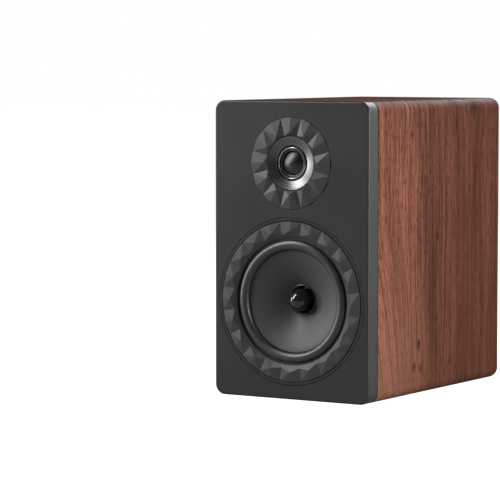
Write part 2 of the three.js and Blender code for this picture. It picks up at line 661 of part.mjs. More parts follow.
function makeBasket() {
  const rim = WOOFER_FRAME_RADIUS;
  const seat = rim - WOOFER_RIM_WIDTH;
  const ledge = SURROUND_OUTER_RADIUS + SURROUND_LIP_WIDTH + SURROUND_LIP_MARGIN;
  const shelf = SURROUND_OUTER_RADIUS + SURROUND_SHELF_INSET;
  const wall = WOOFER_THROUGH_RADIUS - BASKET_HOLE_GAP;
  const rear = WOOFER_PLATE_DEPTH - FIT_GAP;
  const spiderSeat = SPIDER_DEPTH + SPIDER_THICKNESS + FIT_GAP;
  const spiderSeatInner = SPIDER_OUTER_RADIUS - SPIDER_LIP + FIT_GAP;
  const surroundSeat = SURROUND_SEAT + FIT_GAP;
  const shelfBack = surroundSeat + SURROUND_SHELF_THICKNESS;
  const rearHole = WOOFER_MAGNET_BORE + BASKET_REAR_LEDGE;
  const outline = [
    [rim, 0],
    [rim, WOOFER_FLANGE_THICKNESS],
    [wall, WOOFER_FLANGE_THICKNESS],
    [wall, BASKET_STRAIGHT_DEPTH],
    [BASKET_REAR_RADIUS, spiderSeat + 1],
    [BASKET_REAR_RADIUS, rear],
    [rearHole, rear],
    [rearHole, rear - BASKET_WALL],
    [spiderSeatInner, rear - BASKET_WALL],
    [spiderSeatInner, spiderSeat],
    [BASKET_REAR_RADIUS - BASKET_WALL, spiderSeat],
    [wall - BASKET_WALL, BASKET_STRAIGHT_DEPTH - BASKET_WALL / 2],
    [wall - BASKET_WALL, shelfBack],
    [shelf, shelfBack],
    [shelf, surroundSeat],
    [ledge, surroundSeat],
    [ledge, WOOFER_TRIM_SEAT],
    [seat, WOOFER_TRIM_SEAT],
    [seat, 0],
  ];
  let basket = toSolid(turn(outline, LARGE_CIRCLE));
  // Each window is a wedge between two spokes, cut from the shell's sloping part.
  const half = Math.PI / BASKET_SPOKES;
  const far = WOOFER_FRAME_RADIUS;
  const near = BASKET_SPOKE_WIDTH / 2 / Math.sin(half);
  const wedge = new THREE.Shape();
  wedge.moveTo(0, near);
  wedge.lineTo(-far * Math.sin(half), near + far * Math.cos(half));
  wedge.lineTo(far * Math.sin(half), near + far * Math.cos(half));
  const windowFront = BASKET_STRAIGHT_DEPTH + BASKET_WINDOW_EDGE;
  const window = slab(wedge, windowFront, spiderSeat - BASKET_WINDOW_END);
  for (let i = 0; i < BASKET_SPOKES; i++)
    basket = basket.subtract(toSolid(window.clone().rotateY((i + 0.5) * 2 * half)));
  for (const [x, z] of wooferScrews)
    basket = basket.subtract(
      toSolid(screwHole().translate(x, WOOFER_TRIM_SEAT + FIT_GAP, z)),
    );
  const { x, z, width, length, above, below } = WOOFER_TAG;
  const tag = block([x - width / 2, rear - length, z - below], [x + width / 2, rear, z + above]);
  return toGeometry(basket.add(toSolid(tag)));
}

function makeSurround() {
  const middle = (SURROUND_OUTER_RADIUS + SURROUND_INNER_RADIUS) / 2;
  const half = (SURROUND_OUTER_RADIUS - SURROUND_INNER_RADIUS) / 2;
  const base = SURROUND_SEAT;
  const lipEnd = SURROUND_OUTER_RADIUS + SURROUND_LIP_WIDTH;
  const lipFront = (radius) => coneDepth(radius) + CONE_THICKNESS + FIT_GAP;
  const rimLip = lipFront(CONE_RIM_RADIUS);
  const innerLip = lipFront(SURROUND_INNER_END);
  const arc = (reach, rise, from, to, sides) =>
    Array.from({ length: sides + 1 }, (_, i) => {
      const angle = from + ((to - from) * i) / sides;
      return [middle + reach * Math.cos(angle), base - rise * Math.sin(angle)];
    });
  const start = Math.asin(SURROUND_THICKNESS / SURROUND_ROLL_HEIGHT);
  const reach = half - SURROUND_THICKNESS;
  const rise = SURROUND_ROLL_HEIGHT - SURROUND_THICKNESS;
  return turn(
    [
      [lipEnd, base - SURROUND_THICKNESS],
      ...arc(half, SURROUND_ROLL_HEIGHT, start, Math.PI, 5),
      [SURROUND_INNER_RADIUS, rimLip],
      [SURROUND_INNER_END, innerLip],
      [SURROUND_INNER_END, innerLip + SURROUND_THICKNESS],
      [SURROUND_INNER_RADIUS + SURROUND_THICKNESS, rimLip + SURROUND_THICKNESS],
      ...arc(reach, rise, Math.PI, 0, 3),
      [lipEnd, base],
    ],
    LARGE_CIRCLE,
  );
}

// Depth of the cone's front at a radius.
function coneDepth(radius) {
  const share = (CONE_RIM_RADIUS - radius) / (CONE_RIM_RADIUS - CONE_NECK_RADIUS);
  return CONE_RIM_DEPTH + (CONE_NECK_DEPTH - CONE_RIM_DEPTH) * share ** CONE_CURVE;
}

function makeCone() {
  const steps = 4;
  const front = Array.from({ length: steps + 1 }, (_, i) => {
    const radius = SURROUND_INNER_END + ((CONE_NECK_RADIUS - SURROUND_INNER_END) * i) / steps;
    return [radius, coneDepth(radius)];
  });
  front.unshift([CONE_RIM_RADIUS, CONE_RIM_DEPTH]);
  const back = front.map(([radius, depth]) => [radius, depth + CONE_THICKNESS]).reverse();
  return turn([...front, ...back], LARGE_CIRCLE);
}

function makeSpider() {
  const inner = FORMER_OUTER + FIT_GAP;
  const wavesEnd = SPIDER_OUTER_RADIUS - SPIDER_LIP;
  const halfWaves = 2 * SPIDER_WAVES;
  const front = Array.from({ length: halfWaves + 1 }, (_, i) => {
    const radius = inner + ((wavesEnd - inner) * i) / halfWaves;
    const lift = i === 0 || i === halfWaves ? 0 : SPIDER_WAVE_HEIGHT * (i % 2 ? 1 : -1);
    return [radius, SPIDER_DEPTH + lift];
  });
  front.push([SPIDER_OUTER_RADIUS, SPIDER_DEPTH]);
  const back = front.map(([radius, depth]) => [radius, depth + SPIDER_THICKNESS]).reverse();
  return turn([...front, ...back], MEDIUM_CIRCLE);
}

function makeVoiceCoil() {
  const middle = WOOFER_PLATE_DEPTH + WOOFER_PLATE_THICKNESS / 2;
  const windingFront = middle - WOOFER_WINDING_LENGTH / 2;
  const windingBack = middle + WOOFER_WINDING_LENGTH / 2;
  const front = CONE_NECK_DEPTH - WOOFER_FORMER_PROUD;
  return turn(
    [
      [FORMER_INNER, front],
      [FORMER_OUTER, front],
      [FORMER_OUTER, windingFront],
      [WINDING_OUTER, windingFront],
      [WINDING_OUTER, windingBack],
      [FORMER_INNER, windingBack],
    ],
    MEDIUM_CIRCLE,
  );
}

function makePhasePlug() {
  const centre = PLUG_APEX_DEPTH + PLUG_RADIUS;
  const nose = Array.from({ length: 7 }, (_, i) => {
    const angle = (Math.PI / 2) * (i / 6);
    return [i ? PLUG_RADIUS * Math.sin(angle) : 0, centre - PLUG_RADIUS * Math.cos(angle)];
  });
  const foot = POLE_FRONT - FIT_GAP;
  return turn([...nose, [PLUG_RADIUS, foot], [0, foot]], MEDIUM_CIRCLE);
}

function buildWoofer() {
  const woofer = groupAt(0, FRONT, WOOFER_HEIGHT);
  const trimBack = WOOFER_TRIM_SEAT - FIT_GAP;
  add(woofer, "woofer_basket", makeBasket(), "blackFrame");
  add(
    woofer,
    "woofer_trim_ring",
    facetedRing(WOOFER_TRIM_FORM, WOOFER_TRIM_INNER, WOOFER_TRIM_OUTER, trimBack),
    "facets",
  );
  add(woofer, "woofer_surround", makeSurround(), "rubber");
  add(woofer, "woofer_cone", makeCone(), "cone");
  add(woofer, "woofer_spider", makeSpider(), "spider");
  add(woofer, "woofer_voice_coil", makeVoiceCoil(), "copper");
  add(woofer, "phase_plug", makePhasePlug(), "gloss");
  const plateBack = WOOFER_PLATE_DEPTH + WOOFER_PLATE_THICKNESS;
  const plateBore = WINDING_OUTER + RUNNING_GAP;
  const topPlate = tube(
    plateBore,
    WOOFER_PLATE_RADIUS,
    WOOFER_PLATE_DEPTH,
    plateBack,
    MEDIUM_CIRCLE,
  );
  add(woofer, "woofer_top_plate", topPlate, "steel");
  const magnet = tube(
    WOOFER_MAGNET_BORE,
    WOOFER_MAGNET_RADIUS,
    MAGNET_FRONT,
    MAGNET_FRONT + WOOFER_MAGNET_THICKNESS,
    MEDIUM_CIRCLE,
  );
  add(woofer, "woofer_magnet", magnet, "ferrite");
  const poleBack = BACK_PLATE_FRONT + WOOFER_PLATE_THICKNESS;
  const pole = turn(
    [
      [0, POLE_FRONT],
      [POLE_RADIUS, POLE_FRONT],
      [POLE_RADIUS, BACK_PLATE_FRONT],
      [WOOFER_BACK_PLATE_RADIUS, BACK_PLATE_FRONT],
      [WOOFER_BACK_PLATE_RADIUS, poleBack],
      [0, poleBack],
    ],
    MEDIUM_CIRCLE,
  );
  add(woofer, "woofer_pole_piece", pole, "steel");
  wooferScrews.forEach(([x, z], i) =>
    add(woofer, "woofer_screw_" + (i + 1), screw(), "steel", [x, WOOFER_TRIM_SEAT + FIT_GAP, z]),
  );
}

// ---- Tweeter: in its own group, with y the depth behind the front of the baffle -----------------
const TWEETER_COIL_OUTER = DOME_RADIUS;
const TWEETER_COIL_INNER = TWEETER_COIL_OUTER - TWEETER_FORMER_THICKNESS;
const TWEETER_POLE_RADIUS = TWEETER_COIL_INNER - RUNNING_GAP;
const TWEETER_BORE = TWEETER_COIL_OUTER + RUNNING_GAP;
const DOME_SEAT = DOME_RIM_DEPTH - DOME_LIP_RISE; // depth of the surround's lip
const TWEETER_TOP_PLATE = TWEETER_PLATE_BACK + TWEETER_BOSS_HEIGHT + FIT_GAP;
const TWEETER_MAGNET_BORE = TWEETER_COIL_OUTER + TWEETER_MAGNET_GAP;
const TWEETER_TAG_BACK = TWEETER_TOP_PLATE + TWEETER_TOP_PLATE_THICKNESS;

function makeTweeterPlate() {
  const seatRadius = DOME_RING_OUTER_RADIUS + DOME_SEAT_MARGIN;
  const guideSeat = WAVEGUIDE_BACK_DEPTH + FIT_GAP;
  const guideRadius = TWEETER_TRIM_INNER + GUIDE_LEDGE;
  const back = TWEETER_TOP_PLATE - FIT_GAP;
  const lipSeat = DOME_SEAT + DOME_THICKNESS + FIT_GAP;
  const outline = [
    [TWEETER_FRAME_RADIUS, TWEETER_TRIM_SEAT],
    [TWEETER_FRAME_RADIUS, TWEETER_PLATE_BACK],
    [TWEETER_BOSS_RADIUS, TWEETER_PLATE_BACK],
    [TWEETER_BOSS_RADIUS, back],
    [TWEETER_BORE, back],
    [TWEETER_BORE, lipSeat],
    [seatRadius, lipSeat],
    [seatRadius, guideSeat],
    [guideRadius, guideSeat],
    [guideRadius, TWEETER_TRIM_SEAT],
  ];
  const holes = tweeterScrews.map(([x, z]) =>
    screwHole().translate(x, TWEETER_TRIM_SEAT + FIT_GAP, z),
  );
  return cut(turn(outline, LARGE_CIRCLE), ...holes);
}

function makeWaveguide() {
  const flat = TWEETER_TRIM_INNER * Math.cos(Math.PI / TWEETER_TRIM_FORM.repeats / 2);
  const outer = flat - FIT_GAP;
  return turn(
    [
      [outer, 0.1],
      [outer, WAVEGUIDE_BACK_DEPTH],
      [WAVEGUIDE_THROAT_RADIUS, WAVEGUIDE_BACK_DEPTH],
      [WAVEGUIDE_THROAT_RADIUS, WAVEGUIDE_THROAT_DEPTH],
    ],
    LARGE_CIRCLE,
  );
}

function makeDome() {
  const rise = DOME_RIM_DEPTH - DOME_APEX_DEPTH;
  const sphere = (DOME_RADIUS ** 2 + rise ** 2) / (2 * rise);
  const centre = DOME_APEX_DEPTH + sphere;
  const widest = Math.asin(DOME_RADIUS / sphere);
  const skin = (radius) =>
    Array.from({ length: 5 }, (_, i) => {
      const angle = (widest * i) / 4;
      return [i ? radius * Math.sin(angle) : 0, centre - radius * Math.cos(angle)];
    });
  return turn([...skin(sphere), ...skin(sphere - DOME_THICKNESS).reverse()], MEDIUM_CIRCLE);
}

function makeDomeSurround() {
  const inner = DOME_RADIUS + 0.4;
  const outer = DOME_RING_INNER_RADIUS - 0.2;
  const middle = (inner + outer) / 2;
  const half = (outer - inner) / 2;
  const arc = (grow) =>
    Array.from({ length: 4 }, (_, i) => {
      const angle = (Math.PI * i) / 3;
      const reach = half + grow;
      const rise = DOME_SURROUND_HEIGHT + grow;
      return [middle - reach * Math.cos(angle), DOME_SEAT - rise * Math.sin(angle)];
    });
  const under = DOME_SEAT + DOME_THICKNESS;
  return turn(
    [
      ...arc(0),
      [DOME_RING_OUTER_RADIUS, DOME_SEAT],
      [DOME_RING_OUTER_RADIUS, under],
      [outer - DOME_THICKNESS, under],
      ...arc(-DOME_THICKNESS).reverse(),
      [inner, under],
    ],
    MEDIUM_CIRCLE,
  );
}

function buildTweeter() {
  const tweeter = groupAt(0, FRONT, TWEETER_HEIGHT);
  const trimBack = TWEETER_TRIM_SEAT - FIT_GAP;
  add(
    tweeter,
    "tweeter_trim_ring",
    facetedRing(TWEETER_TRIM_FORM, TWEETER_TRIM_INNER, TWEETER_FRAME_RADIUS, trimBack),
    "facets",
  );
  const { width, proud, length, overlap } = TWEETER_TAG;
  const tag = block(
    [TWEETER_BOSS_RADIUS - overlap, TWEETER_TAG_BACK - length, -width / 2],
    [TWEETER_BOSS_RADIUS + proud, TWEETER_TAG_BACK, width / 2],
  );
  add(tweeter, "tweeter_plate", join(makeTweeterPlate(), tag), "blackFrame");
  add(tweeter, "waveguide", makeWaveguide(), "aluminium");
  const ring = tube(
    DOME_RING_INNER_RADIUS,
    DOME_RING_OUTER_RADIUS,
    DOME_RING_DEPTH,
    DOME_SEAT - FIT_GAP,
    MEDIUM_CIRCLE,
  );
  add(tweeter, "dome_ring", ring, "aluminium");
  add(tweeter, "dome", makeDome(), "silk");
  add(tweeter, "dome_surround", makeDomeSurround(), "silk");
  const coil = tube(
    TWEETER_COIL_INNER,
    TWEETER_COIL_OUTER,
    DOME_RIM_DEPTH + DOME_THICKNESS + FIT_GAP,
    TWEETER_COIL_BACK_DEPTH,
    MEDIUM_CIRCLE,
  );
  add(tweeter, "tweeter_voice_coil", coil, "copper");
  const plateBack = TWEETER_TOP_PLATE + TWEETER_TOP_PLATE_THICKNESS;
  const topPlate = tube(
    TWEETER_BORE,
    TWEETER_TOP_PLATE_RADIUS,
    TWEETER_TOP_PLATE,
    plateBack,
    MEDIUM_CIRCLE,
  );
  add(tweeter, "tweeter_top_plate", topPlate, "steel");
  const magnetFront = plateBack + FIT_GAP;
  const magnetBack = magnetFront + TWEETER_MAGNET_THICKNESS;
  const magnet = tube(
    TWEETER_MAGNET_BORE,
    TWEETER_MAGNET_RADIUS,
    magnetFront,
    magnetBack,
    MEDIUM_CIRCLE,
  );
  add(tweeter, "tweeter_magnet", magnet, "ferrite");
  const poleBack = magnetBack + FIT_GAP;
  const pole = turn(
    [
      [0, TWEETER_TOP_PLATE],
      [TWEETER_POLE_RADIUS, TWEETER_TOP_PLATE],
      [TWEETER_POLE_RADIUS, poleBack],
      [TWEETER_TOP_PLATE_RADIUS, poleBack],
      [TWEETER_TOP_PLATE_RADIUS, poleBack + TWEETER_BACK_PLATE_THICKNESS],
      [0, poleBack + TWEETER_BACK_PLATE_THICKNESS],
    ],
    MEDIUM_CIRCLE,
  );
  add(tweeter, "tweeter_pole_piece", pole, "steel");
  tweeterScrews.forEach(([x, z], i) => {
    const place = [x, TWEETER_TRIM_SEAT + FIT_GAP, z];
    add(tweeter, "tweeter_screw_" + (i + 1), screw(), "steel", place);
  });
}

// ---- Port, at the back --------------------------------------------------------------------------
function buildPort() {
  const port = groupAt(0, BACK, PORT_HEIGHT);
  const bore = PORT_BORE_RADIUS;
  // The bore opens out to the rear face along a quarter circle.
  const flare = Array.from({ length: 6 }, (_, i) => {
    const angle = (Math.PI / 2) * (i / 5);
    return [bore + PORT_FLARE * (1 - Math.cos(angle)), PORT_FLARE * (Math.sin(angle) - 1)];
  });
  const neck = bore + PORT_WALL;
  const shoulder = neck + PORT_FLARE / 2;
  const outline = [
    [bore, -PORT_LENGTH],
    ...flare,
    [PORT_FLANGE_RADIUS, 0],
    [PORT_FLANGE_RADIUS, -PORT_FLANGE_THICKNESS],
    [shoulder, -PORT_FLANGE_THICKNESS],
    [neck, -PORT_FLARE],
    [neck, -PORT_LENGTH],
  ];
  add(port, "port_tube", turn(outline, MEDIUM_CIRCLE), "plastic");
}

// ---- Terminals and crossover, at the back -------------------------------------------------------
function makeCup() {
  const body = join(
    slab(flangeOutline(), BACK - CUP_FLANGE_THICKNESS, BACK, 4),
    slab(cupOutline(CUP_WALL), CUP_UNDERSIDE, BACK - CUP_FLANGE_THICKNESS / 2, 4),
  );
  const cutters = [slab(cupOutline(0), CUP_FLOOR, BACK + OVERCUT, 4)];
  for (const x of [-POST_SPACING / 2, POST_SPACING / 2])
    cutters.push(
      bar(
        POST_RADIUS + FIT_GAP,
        CUP_UNDERSIDE - OVERCUT,
        CUP_FLOOR + OVERCUT,
        SMALL_CIRCLE,
      ).translate(x, 0, CUP_HEIGHT),
    );
  for (const [x, z] of cupScrewPlaces())
    cutters.push(screwHole().rotateX(Math.PI).translate(x, BACK - FIT_GAP, z));
  return cut(body, ...cutters);
}

function makeCap() {
  const body = bar(CAP_RADIUS, 0, CAP_LENGTH, 2 * CAP_FLUTES);
  const bore = bar(POST_RADIUS + POST_CLEARANCE, -OVERCUT, CAP_LENGTH + OVERCUT, SMALL_CIRCLE);
  const circle = CAP_RADIUS + CAP_FLUTE_RADIUS - CAP_FLUTE_DEPTH;
  const flutes = onCircle(circle, CAP_FLUTES, 0).map(([x, z]) =>
    bar(CAP_FLUTE_RADIUS, CAP_FOOT, CAP_LENGTH - CAP_TOP, 6).translate(x, 0, z),
  );
  return cut(body, bore, ...flutes);
}

function makeNut() {
  const nut = new THREE.Shape();
  const corner = NUT_ACROSS_FLATS / Math.sqrt(3);
  for (let i = 0; i < 6; i++) {
    const angle = (Math.PI / 3) * i;
    const point = [corner * Math.cos(angle), corner * Math.sin(angle)];
    if (i) nut.lineTo(...point);
    else nut.moveTo(...point);
  }
  const hole = new THREE.Path();
  hole.absarc(0, 0, POST_RADIUS + FIT_GAP, 0, 2 * Math.PI, true);
  nut.holes.push(hole);
  return slab(nut, -NUT_THICKNESS, 0, 8);
}

function buildTerminals() {
  add(speaker, "terminal_cup", makeCup(), "plastic");
  cupScrewPlaces().forEach(([x, z], i) => {
    const place = [x, BACK - FIT_GAP, z];
    add(speaker, "terminal_screw_" + (i + 1), screw(), "steel", place, [Math.PI, 0, 0]);
  });
  const inner = BOARD_FRONT - FIT_GAP - NUT_THICKNESS - POST_TAIL;
  const washerBore = POST_RADIUS + POST_CLEARANCE;
  const base = CUP_FLOOR + FIT_GAP;
  const washerFront = base + POST_BASE_THICKNESS + FIT_GAP;
  const capFront = washerFront + WASHER_THICKNESS + FIT_GAP;
  for (const [side, look, name] of [
    [-1, "plastic", "black"],
    [1, "red", "red"],
  ]) {
    const x = (side * POST_SPACING) / 2;
    const post = turn(
      [
        [0, inner],
        [POST_RADIUS, inner],
        [POST_RADIUS, base],
        [POST_BASE_RADIUS, base],
        [POST_BASE_RADIUS, base + POST_BASE_THICKNESS],
        [POST_RADIUS, base + POST_BASE_THICKNESS],
        [POST_RADIUS, CUP_FLOOR + POST_LENGTH],
        [0, CUP_FLOOR + POST_LENGTH],
      ],
      SMALL_CIRCLE,
    );
    add(speaker, "post_" + name, post, "brass", [x, 0, CUP_HEIGHT]);
    const washer = tube(washerBore, WASHER_RADIUS, 0, WASHER_THICKNESS, SMALL_CIRCLE);
    add(speaker, "washer_" + name, washer, "brass", [x, washerFront, CUP_HEIGHT]);
    add(speaker, "cap_" + name, makeCap(), look, [x, capFront, CUP_HEIGHT]);
    add(speaker, "nut_" + name, makeNut(), "brass", [x, BOARD_FRONT - FIT_GAP, CUP_HEIGHT]);
  }
}

// A component's body stands FIT_GAP clear of the board, on the side away from the cup.
function buildCrossover() {
  const hole = (x) =>
    bar(
      POST_RADIUS + FIT_GAP,
      BOARD_FRONT - OVERCUT,
      BOARD_BACK + OVERCUT,
      SMALL_CIRCLE,
    ).translate(x, 0, CUP_HEIGHT);
  const board = block(
    [-BOARD_WIDTH / 2, BOARD_FRONT, CUP_HEIGHT - BOARD_HEIGHT / 2],
    [BOARD_WIDTH / 2, BOARD_BACK, CUP_HEIGHT + BOARD_HEIGHT / 2],
  );
  add(
    speaker,
    "crossover_board",
    cut(board, hole(-POST_SPACING / 2), hole(POST_SPACING / 2)),
    "board",
  );
  const face = BOARD_FRONT - FIT_GAP;
  const low = CUP_HEIGHT + LOWER_ROW;
  const coil = ({ bore, radius, height }, sides) => tube(bore, radius, -height, 0, sides);
  const wooferCoil = coil(WOOFER_INDUCTOR, MEDIUM_CIRCLE);
  const tweeterCoil = coil(TWEETER_INDUCTOR, SMALL_CIRCLE);
  add(speaker, "woofer_inductor", wooferCoil, "copper", [WOOFER_INDUCTOR.x, face, low]);
  add(speaker, "tweeter_inductor", tweeterCoil, "copper", [TWEETER_INDUCTOR.x, face, low]);
  const can = bar(CAPACITOR.radius, -CAPACITOR.length / 2, CAPACITOR.length / 2, SMALL_CIRCLE);
  const place = [CAPACITOR.x, face - CAPACITOR.radius, low];
  add(speaker, "crossover_capacitor", can, "capacitor", place, [0, 0, Math.PI / 2]);
  const { width, depth, height } = RESISTOR;
  const resistor = block([-width / 2, -depth, -height / 2], [width / 2, 0, height / 2]);
  add(speaker, "crossover_resistor", resistor, "ceramic", [0, face, CUP_HEIGHT + UPPER_ROW]);
}

// Each lead runs straight out of the board, through the brace's windows, and into a driver's tag.
function buildLeads() {
  const face = BOARD_FRONT - FIT_GAP;
  const start = CUP_HEIGHT + BOARD_HEIGHT / 2 - LEAD_EDGE.top;
  const startX = BOARD_WIDTH / 2 - LEAD_EDGE.side;
  const pass = BRACE_WINDOW_HALF - LEAD_RADIUS - LEAD_WINDOW_GAP;
  const wooferTag = FRONT + WOOFER_PLATE_DEPTH;
  const tagZ = WOOFER_HEIGHT + WOOFER_TAG.z - WOOFER_TAG.above;
  const wooferRoute = [
    [-startX, face, start],
    [-startX, face - LEAD_STRAIGHT, start],
    [-pass, face - 40, start + 6],
    [-pass, 20, start + 20],
    [-pass, -20, start + 24],
    [-pass, wooferTag + 32, tagZ + 5],
    [WOOFER_TAG.x, wooferTag + 10, tagZ],
    [WOOFER_TAG.x, wooferTag, tagZ],
  ];
  add(speaker, "woofer_lead", lead(wooferRoute), "plastic");
  const tweeterTag = FRONT + TWEETER_TAG_BACK + FIT_GAP;
  const tweeterX = TWEETER_BOSS_RADIUS + TWEETER_TAG.proud - LEAD_RADIUS;
  const tweeterRoute = [
    [startX, face, start],
    [startX, face - LEAD_STRAIGHT, start],
    [pass, face - 40, start + 20],
    [pass, 40, start + 75],
    [pass, -20, TWEETER_HEIGHT - 30],
    [pass - 7, -80, TWEETER_HEIGHT - 12],
    [tweeterX + 3, tweeterTag + 22, TWEETER_HEIGHT],
    [tweeterX, tweeterTag + 8, TWEETER_HEIGHT],
    [tweeterX, tweeterTag, TWEETER_HEIGHT],
  ];
  add(speaker, "tweeter_lead", lead(tweeterRoute), "plastic");
}

buildCabinet();
buildWoofer();
buildTweeter();
buildPort();
buildTerminals();
buildCrossover();
buildLeads();

export default speaker;
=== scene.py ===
import math
import bpy
import bmesh
import numpy as np
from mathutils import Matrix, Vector


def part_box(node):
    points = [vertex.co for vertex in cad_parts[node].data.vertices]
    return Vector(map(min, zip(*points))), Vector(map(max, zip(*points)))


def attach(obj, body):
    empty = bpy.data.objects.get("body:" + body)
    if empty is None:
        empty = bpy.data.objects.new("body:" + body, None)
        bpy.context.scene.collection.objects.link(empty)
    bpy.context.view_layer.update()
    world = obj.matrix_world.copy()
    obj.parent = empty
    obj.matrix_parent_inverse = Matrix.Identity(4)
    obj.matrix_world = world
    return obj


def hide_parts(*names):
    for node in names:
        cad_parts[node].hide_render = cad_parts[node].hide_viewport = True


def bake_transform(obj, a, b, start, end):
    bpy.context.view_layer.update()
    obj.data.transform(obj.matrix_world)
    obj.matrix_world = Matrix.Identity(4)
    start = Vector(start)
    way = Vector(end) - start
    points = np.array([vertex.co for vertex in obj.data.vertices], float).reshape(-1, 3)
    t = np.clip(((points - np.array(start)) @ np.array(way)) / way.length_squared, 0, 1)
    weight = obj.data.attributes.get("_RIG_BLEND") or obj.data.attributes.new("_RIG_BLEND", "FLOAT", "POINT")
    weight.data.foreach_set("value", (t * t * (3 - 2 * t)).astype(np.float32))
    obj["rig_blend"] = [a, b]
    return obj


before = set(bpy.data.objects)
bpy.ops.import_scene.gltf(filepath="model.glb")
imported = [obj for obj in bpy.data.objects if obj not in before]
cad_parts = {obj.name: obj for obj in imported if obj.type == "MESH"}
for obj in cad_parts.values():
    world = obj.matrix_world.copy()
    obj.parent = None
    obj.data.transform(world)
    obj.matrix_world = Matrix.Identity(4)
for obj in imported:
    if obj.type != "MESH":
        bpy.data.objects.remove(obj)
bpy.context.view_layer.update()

MM = 0.001
SMOOTH_ANGLE = math.radians(32)
ROUND = 128  # sides of a visible turned piece
ON_AXIS = 1e-6  # a radius below this is a point on the axis
LEAST_CORNER = 0.4  # of an outline that an edge's rounding has drawn in

# ---- Places, from the frame ----
BAFFLE_LOW, BAFFLE_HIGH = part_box("baffle")
SLEEVE_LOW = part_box("top_panel")[0]
BACK_LOW, BACK_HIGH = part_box("back_panel")
FRONT = BAFFLE_LOW.y
WIDTH = (BACK_HIGH.x - BACK_LOW.x) / MM
HEIGHT = (BACK_HIGH.z - BACK_LOW.z) / MM
DEPTH = (BACK_HIGH.y - FRONT) / MM
SLEEVE_START = (SLEEVE_LOW.y - FRONT) / MM
BAFFLE_END = (BAFFLE_HIGH.y - FRONT) / MM
BACK_START = (BACK_LOW.y - FRONT) / MM


def axis_of(node):
    """x and z of the middle of a node, in millimetres."""
    low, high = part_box(node)
    return (low.x + high.x) / 2 / MM, (low.z + high.z) / 2 / MM


def numbered(name, count):
    return [f"{name}_{i}" for i in range(1, count + 1)]


def axes_of(name, count):
    return [axis_of(node) for node in numbered(name, count)]


def depths_of(node):
    """Front and back of a node, in millimetres behind the front of the baffle."""
    low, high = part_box(node)
    return (low.y - FRONT) / MM, (high.y - FRONT) / MM


WOOFER = axis_of("woofer_trim_ring")
TWEETER = axis_of("tweeter_trim_ring")
PORT = axis_of("port_tube")
CUP = axis_of("terminal_cup")
LONG_EDGE = 12.0
REAR_EDGE = 10.4
FRONT_EDGE = 2.0
WALL = 15.0

# ---- Mesh helpers ----


def point(x, depth, z):
    """A place in metres, from millimetres and a depth behind the front."""
    return (x * MM, FRONT + depth * MM, z * MM)


def add_mesh(name, vertices, faces, smooth=True):
    """A piece from its corners, with its faces turned outwards and its sharp edges kept."""
    mesh = bpy.data.meshes.new(name)
    mesh.from_pydata(vertices, [], faces)
    shape = bmesh.new()
    shape.from_mesh(mesh)
    bmesh.ops.recalc_face_normals(shape, faces=shape.faces)
    shape.to_mesh(mesh)
    shape.free()
    if smooth:
        mesh.shade_smooth()
        mesh.set_sharp_from_angle(angle=SMOOTH_ANGLE)
    piece = bpy.data.objects.new(name, mesh)
    bpy.context.scene.collection.objects.link(piece)
    return piece


def lathe(name, outline, centre=(0, 0), sides=ROUND, wobble=None):
    """A closed outline of (radius, depth) turned about the line along Y through centre (x, z)."""
    vertices, rows = [], []
    for radius, depth in outline:
        if radius < ON_AXIS:
            rows.append([len(vertices)] * sides)
            vertices.append(point(centre[0], depth, centre[1]))
            continue
        rows.append(range(len(vertices), len(vertices) + sides))
        for i in range(sides):
            angle = 2 * math.pi * i / sides
            reach = radius * (wobble(angle, depth) if wobble else 1)
            x, z = reach * math.sin(angle), reach * math.cos(angle)
            vertices.append(point(centre[0] + x, depth, centre[1] + z))
    faces = []
    for a, b in zip(rows, rows[1:] + rows[:1]):
        for i in range(sides):
            j = (i + 1) % sides
            corners = list(dict.fromkeys([a[i], a[j], b[j], b[i]]))
            if len(corners) > 2:
                faces.append(corners)
    return add_mesh(name, vertices, faces)


def ring_arc(centre, reach, rise, start, end, steps):
    """Points (radius, depth) on an ellipse. The angle turns from +radius towards the front."""
    turns = [start + (end - start) * i / steps for i in range(steps + 1)]
    return [(centre[0] + reach * math.cos(t), centre[1] - rise * math.sin(t)) for t in turns]


def rounded_outline(width, height, corner, x=0.0, z=0.0, steps=12):
    """Corners (x, z) of a rectangle with round corners, clockwise from the top right."""
    points = []
    for k, (sx, sz) in enumerate([(1, 1), (1, -1), (-1, -1), (-1, 1)]):
        cx, cz = x + sx * (width / 2 - corner), z + sz * (height / 2 - corner)
        for i in range(steps + 1):
            angle = math.pi / 2 * (k + i / steps)
            points.append((cx + corner * math.sin(angle), cz + corner * math.cos(angle)))
    return points


def loft(name, stops):
    """A solid through stops of (depth, outline), with outlines of the same count of (x, z)."""
    count = len(stops[0][1])
    vertices = [point(x, depth, z) for depth, outline in stops for x, z in outline]
    faces = [tuple(range(count)), tuple(range(len(vertices) - count, len(vertices)))]
    for k in range(len(stops) - 1):
        for i in range(count):
            j = (i + 1) % count
            a, b = k * count, (k + 1) * count
            faces.append((a + i, a + j, b + j, b + i))
    return add_mesh(name, vertices, faces)


def slab(name, outline, start, end):
    """An outline of (x, z) carried from one depth to another."""
    return loft(name, [(start, outline), (end, outline)])


def rounded_box(name, start, end, corner, edge, at_end, steps=8):
    """The cabinet's outline from start to end, with one end's edge rounded."""
    stops = [(start, 0.0)] if at_end else []
    for i in range(steps + 1):
        turn = math.pi / 2 * i / steps
        inset, along = edge * (1 - math.cos(turn)), edge * (1 - math.sin(turn))
        stops.append((end - along, inset) if at_end else (start + along, inset))
    if not at_end:
        stops = [(end, 0.0)] + stops

    def outline(inset):
        radius = max(corner - inset, LEAST_CORNER)
        return rounded_outline(WIDTH - 2 * inset, HEIGHT - 2 * inset, radius, 0, HEIGHT / 2)

    return loft(name, [(depth, outline(inset)) for depth, inset in stops])


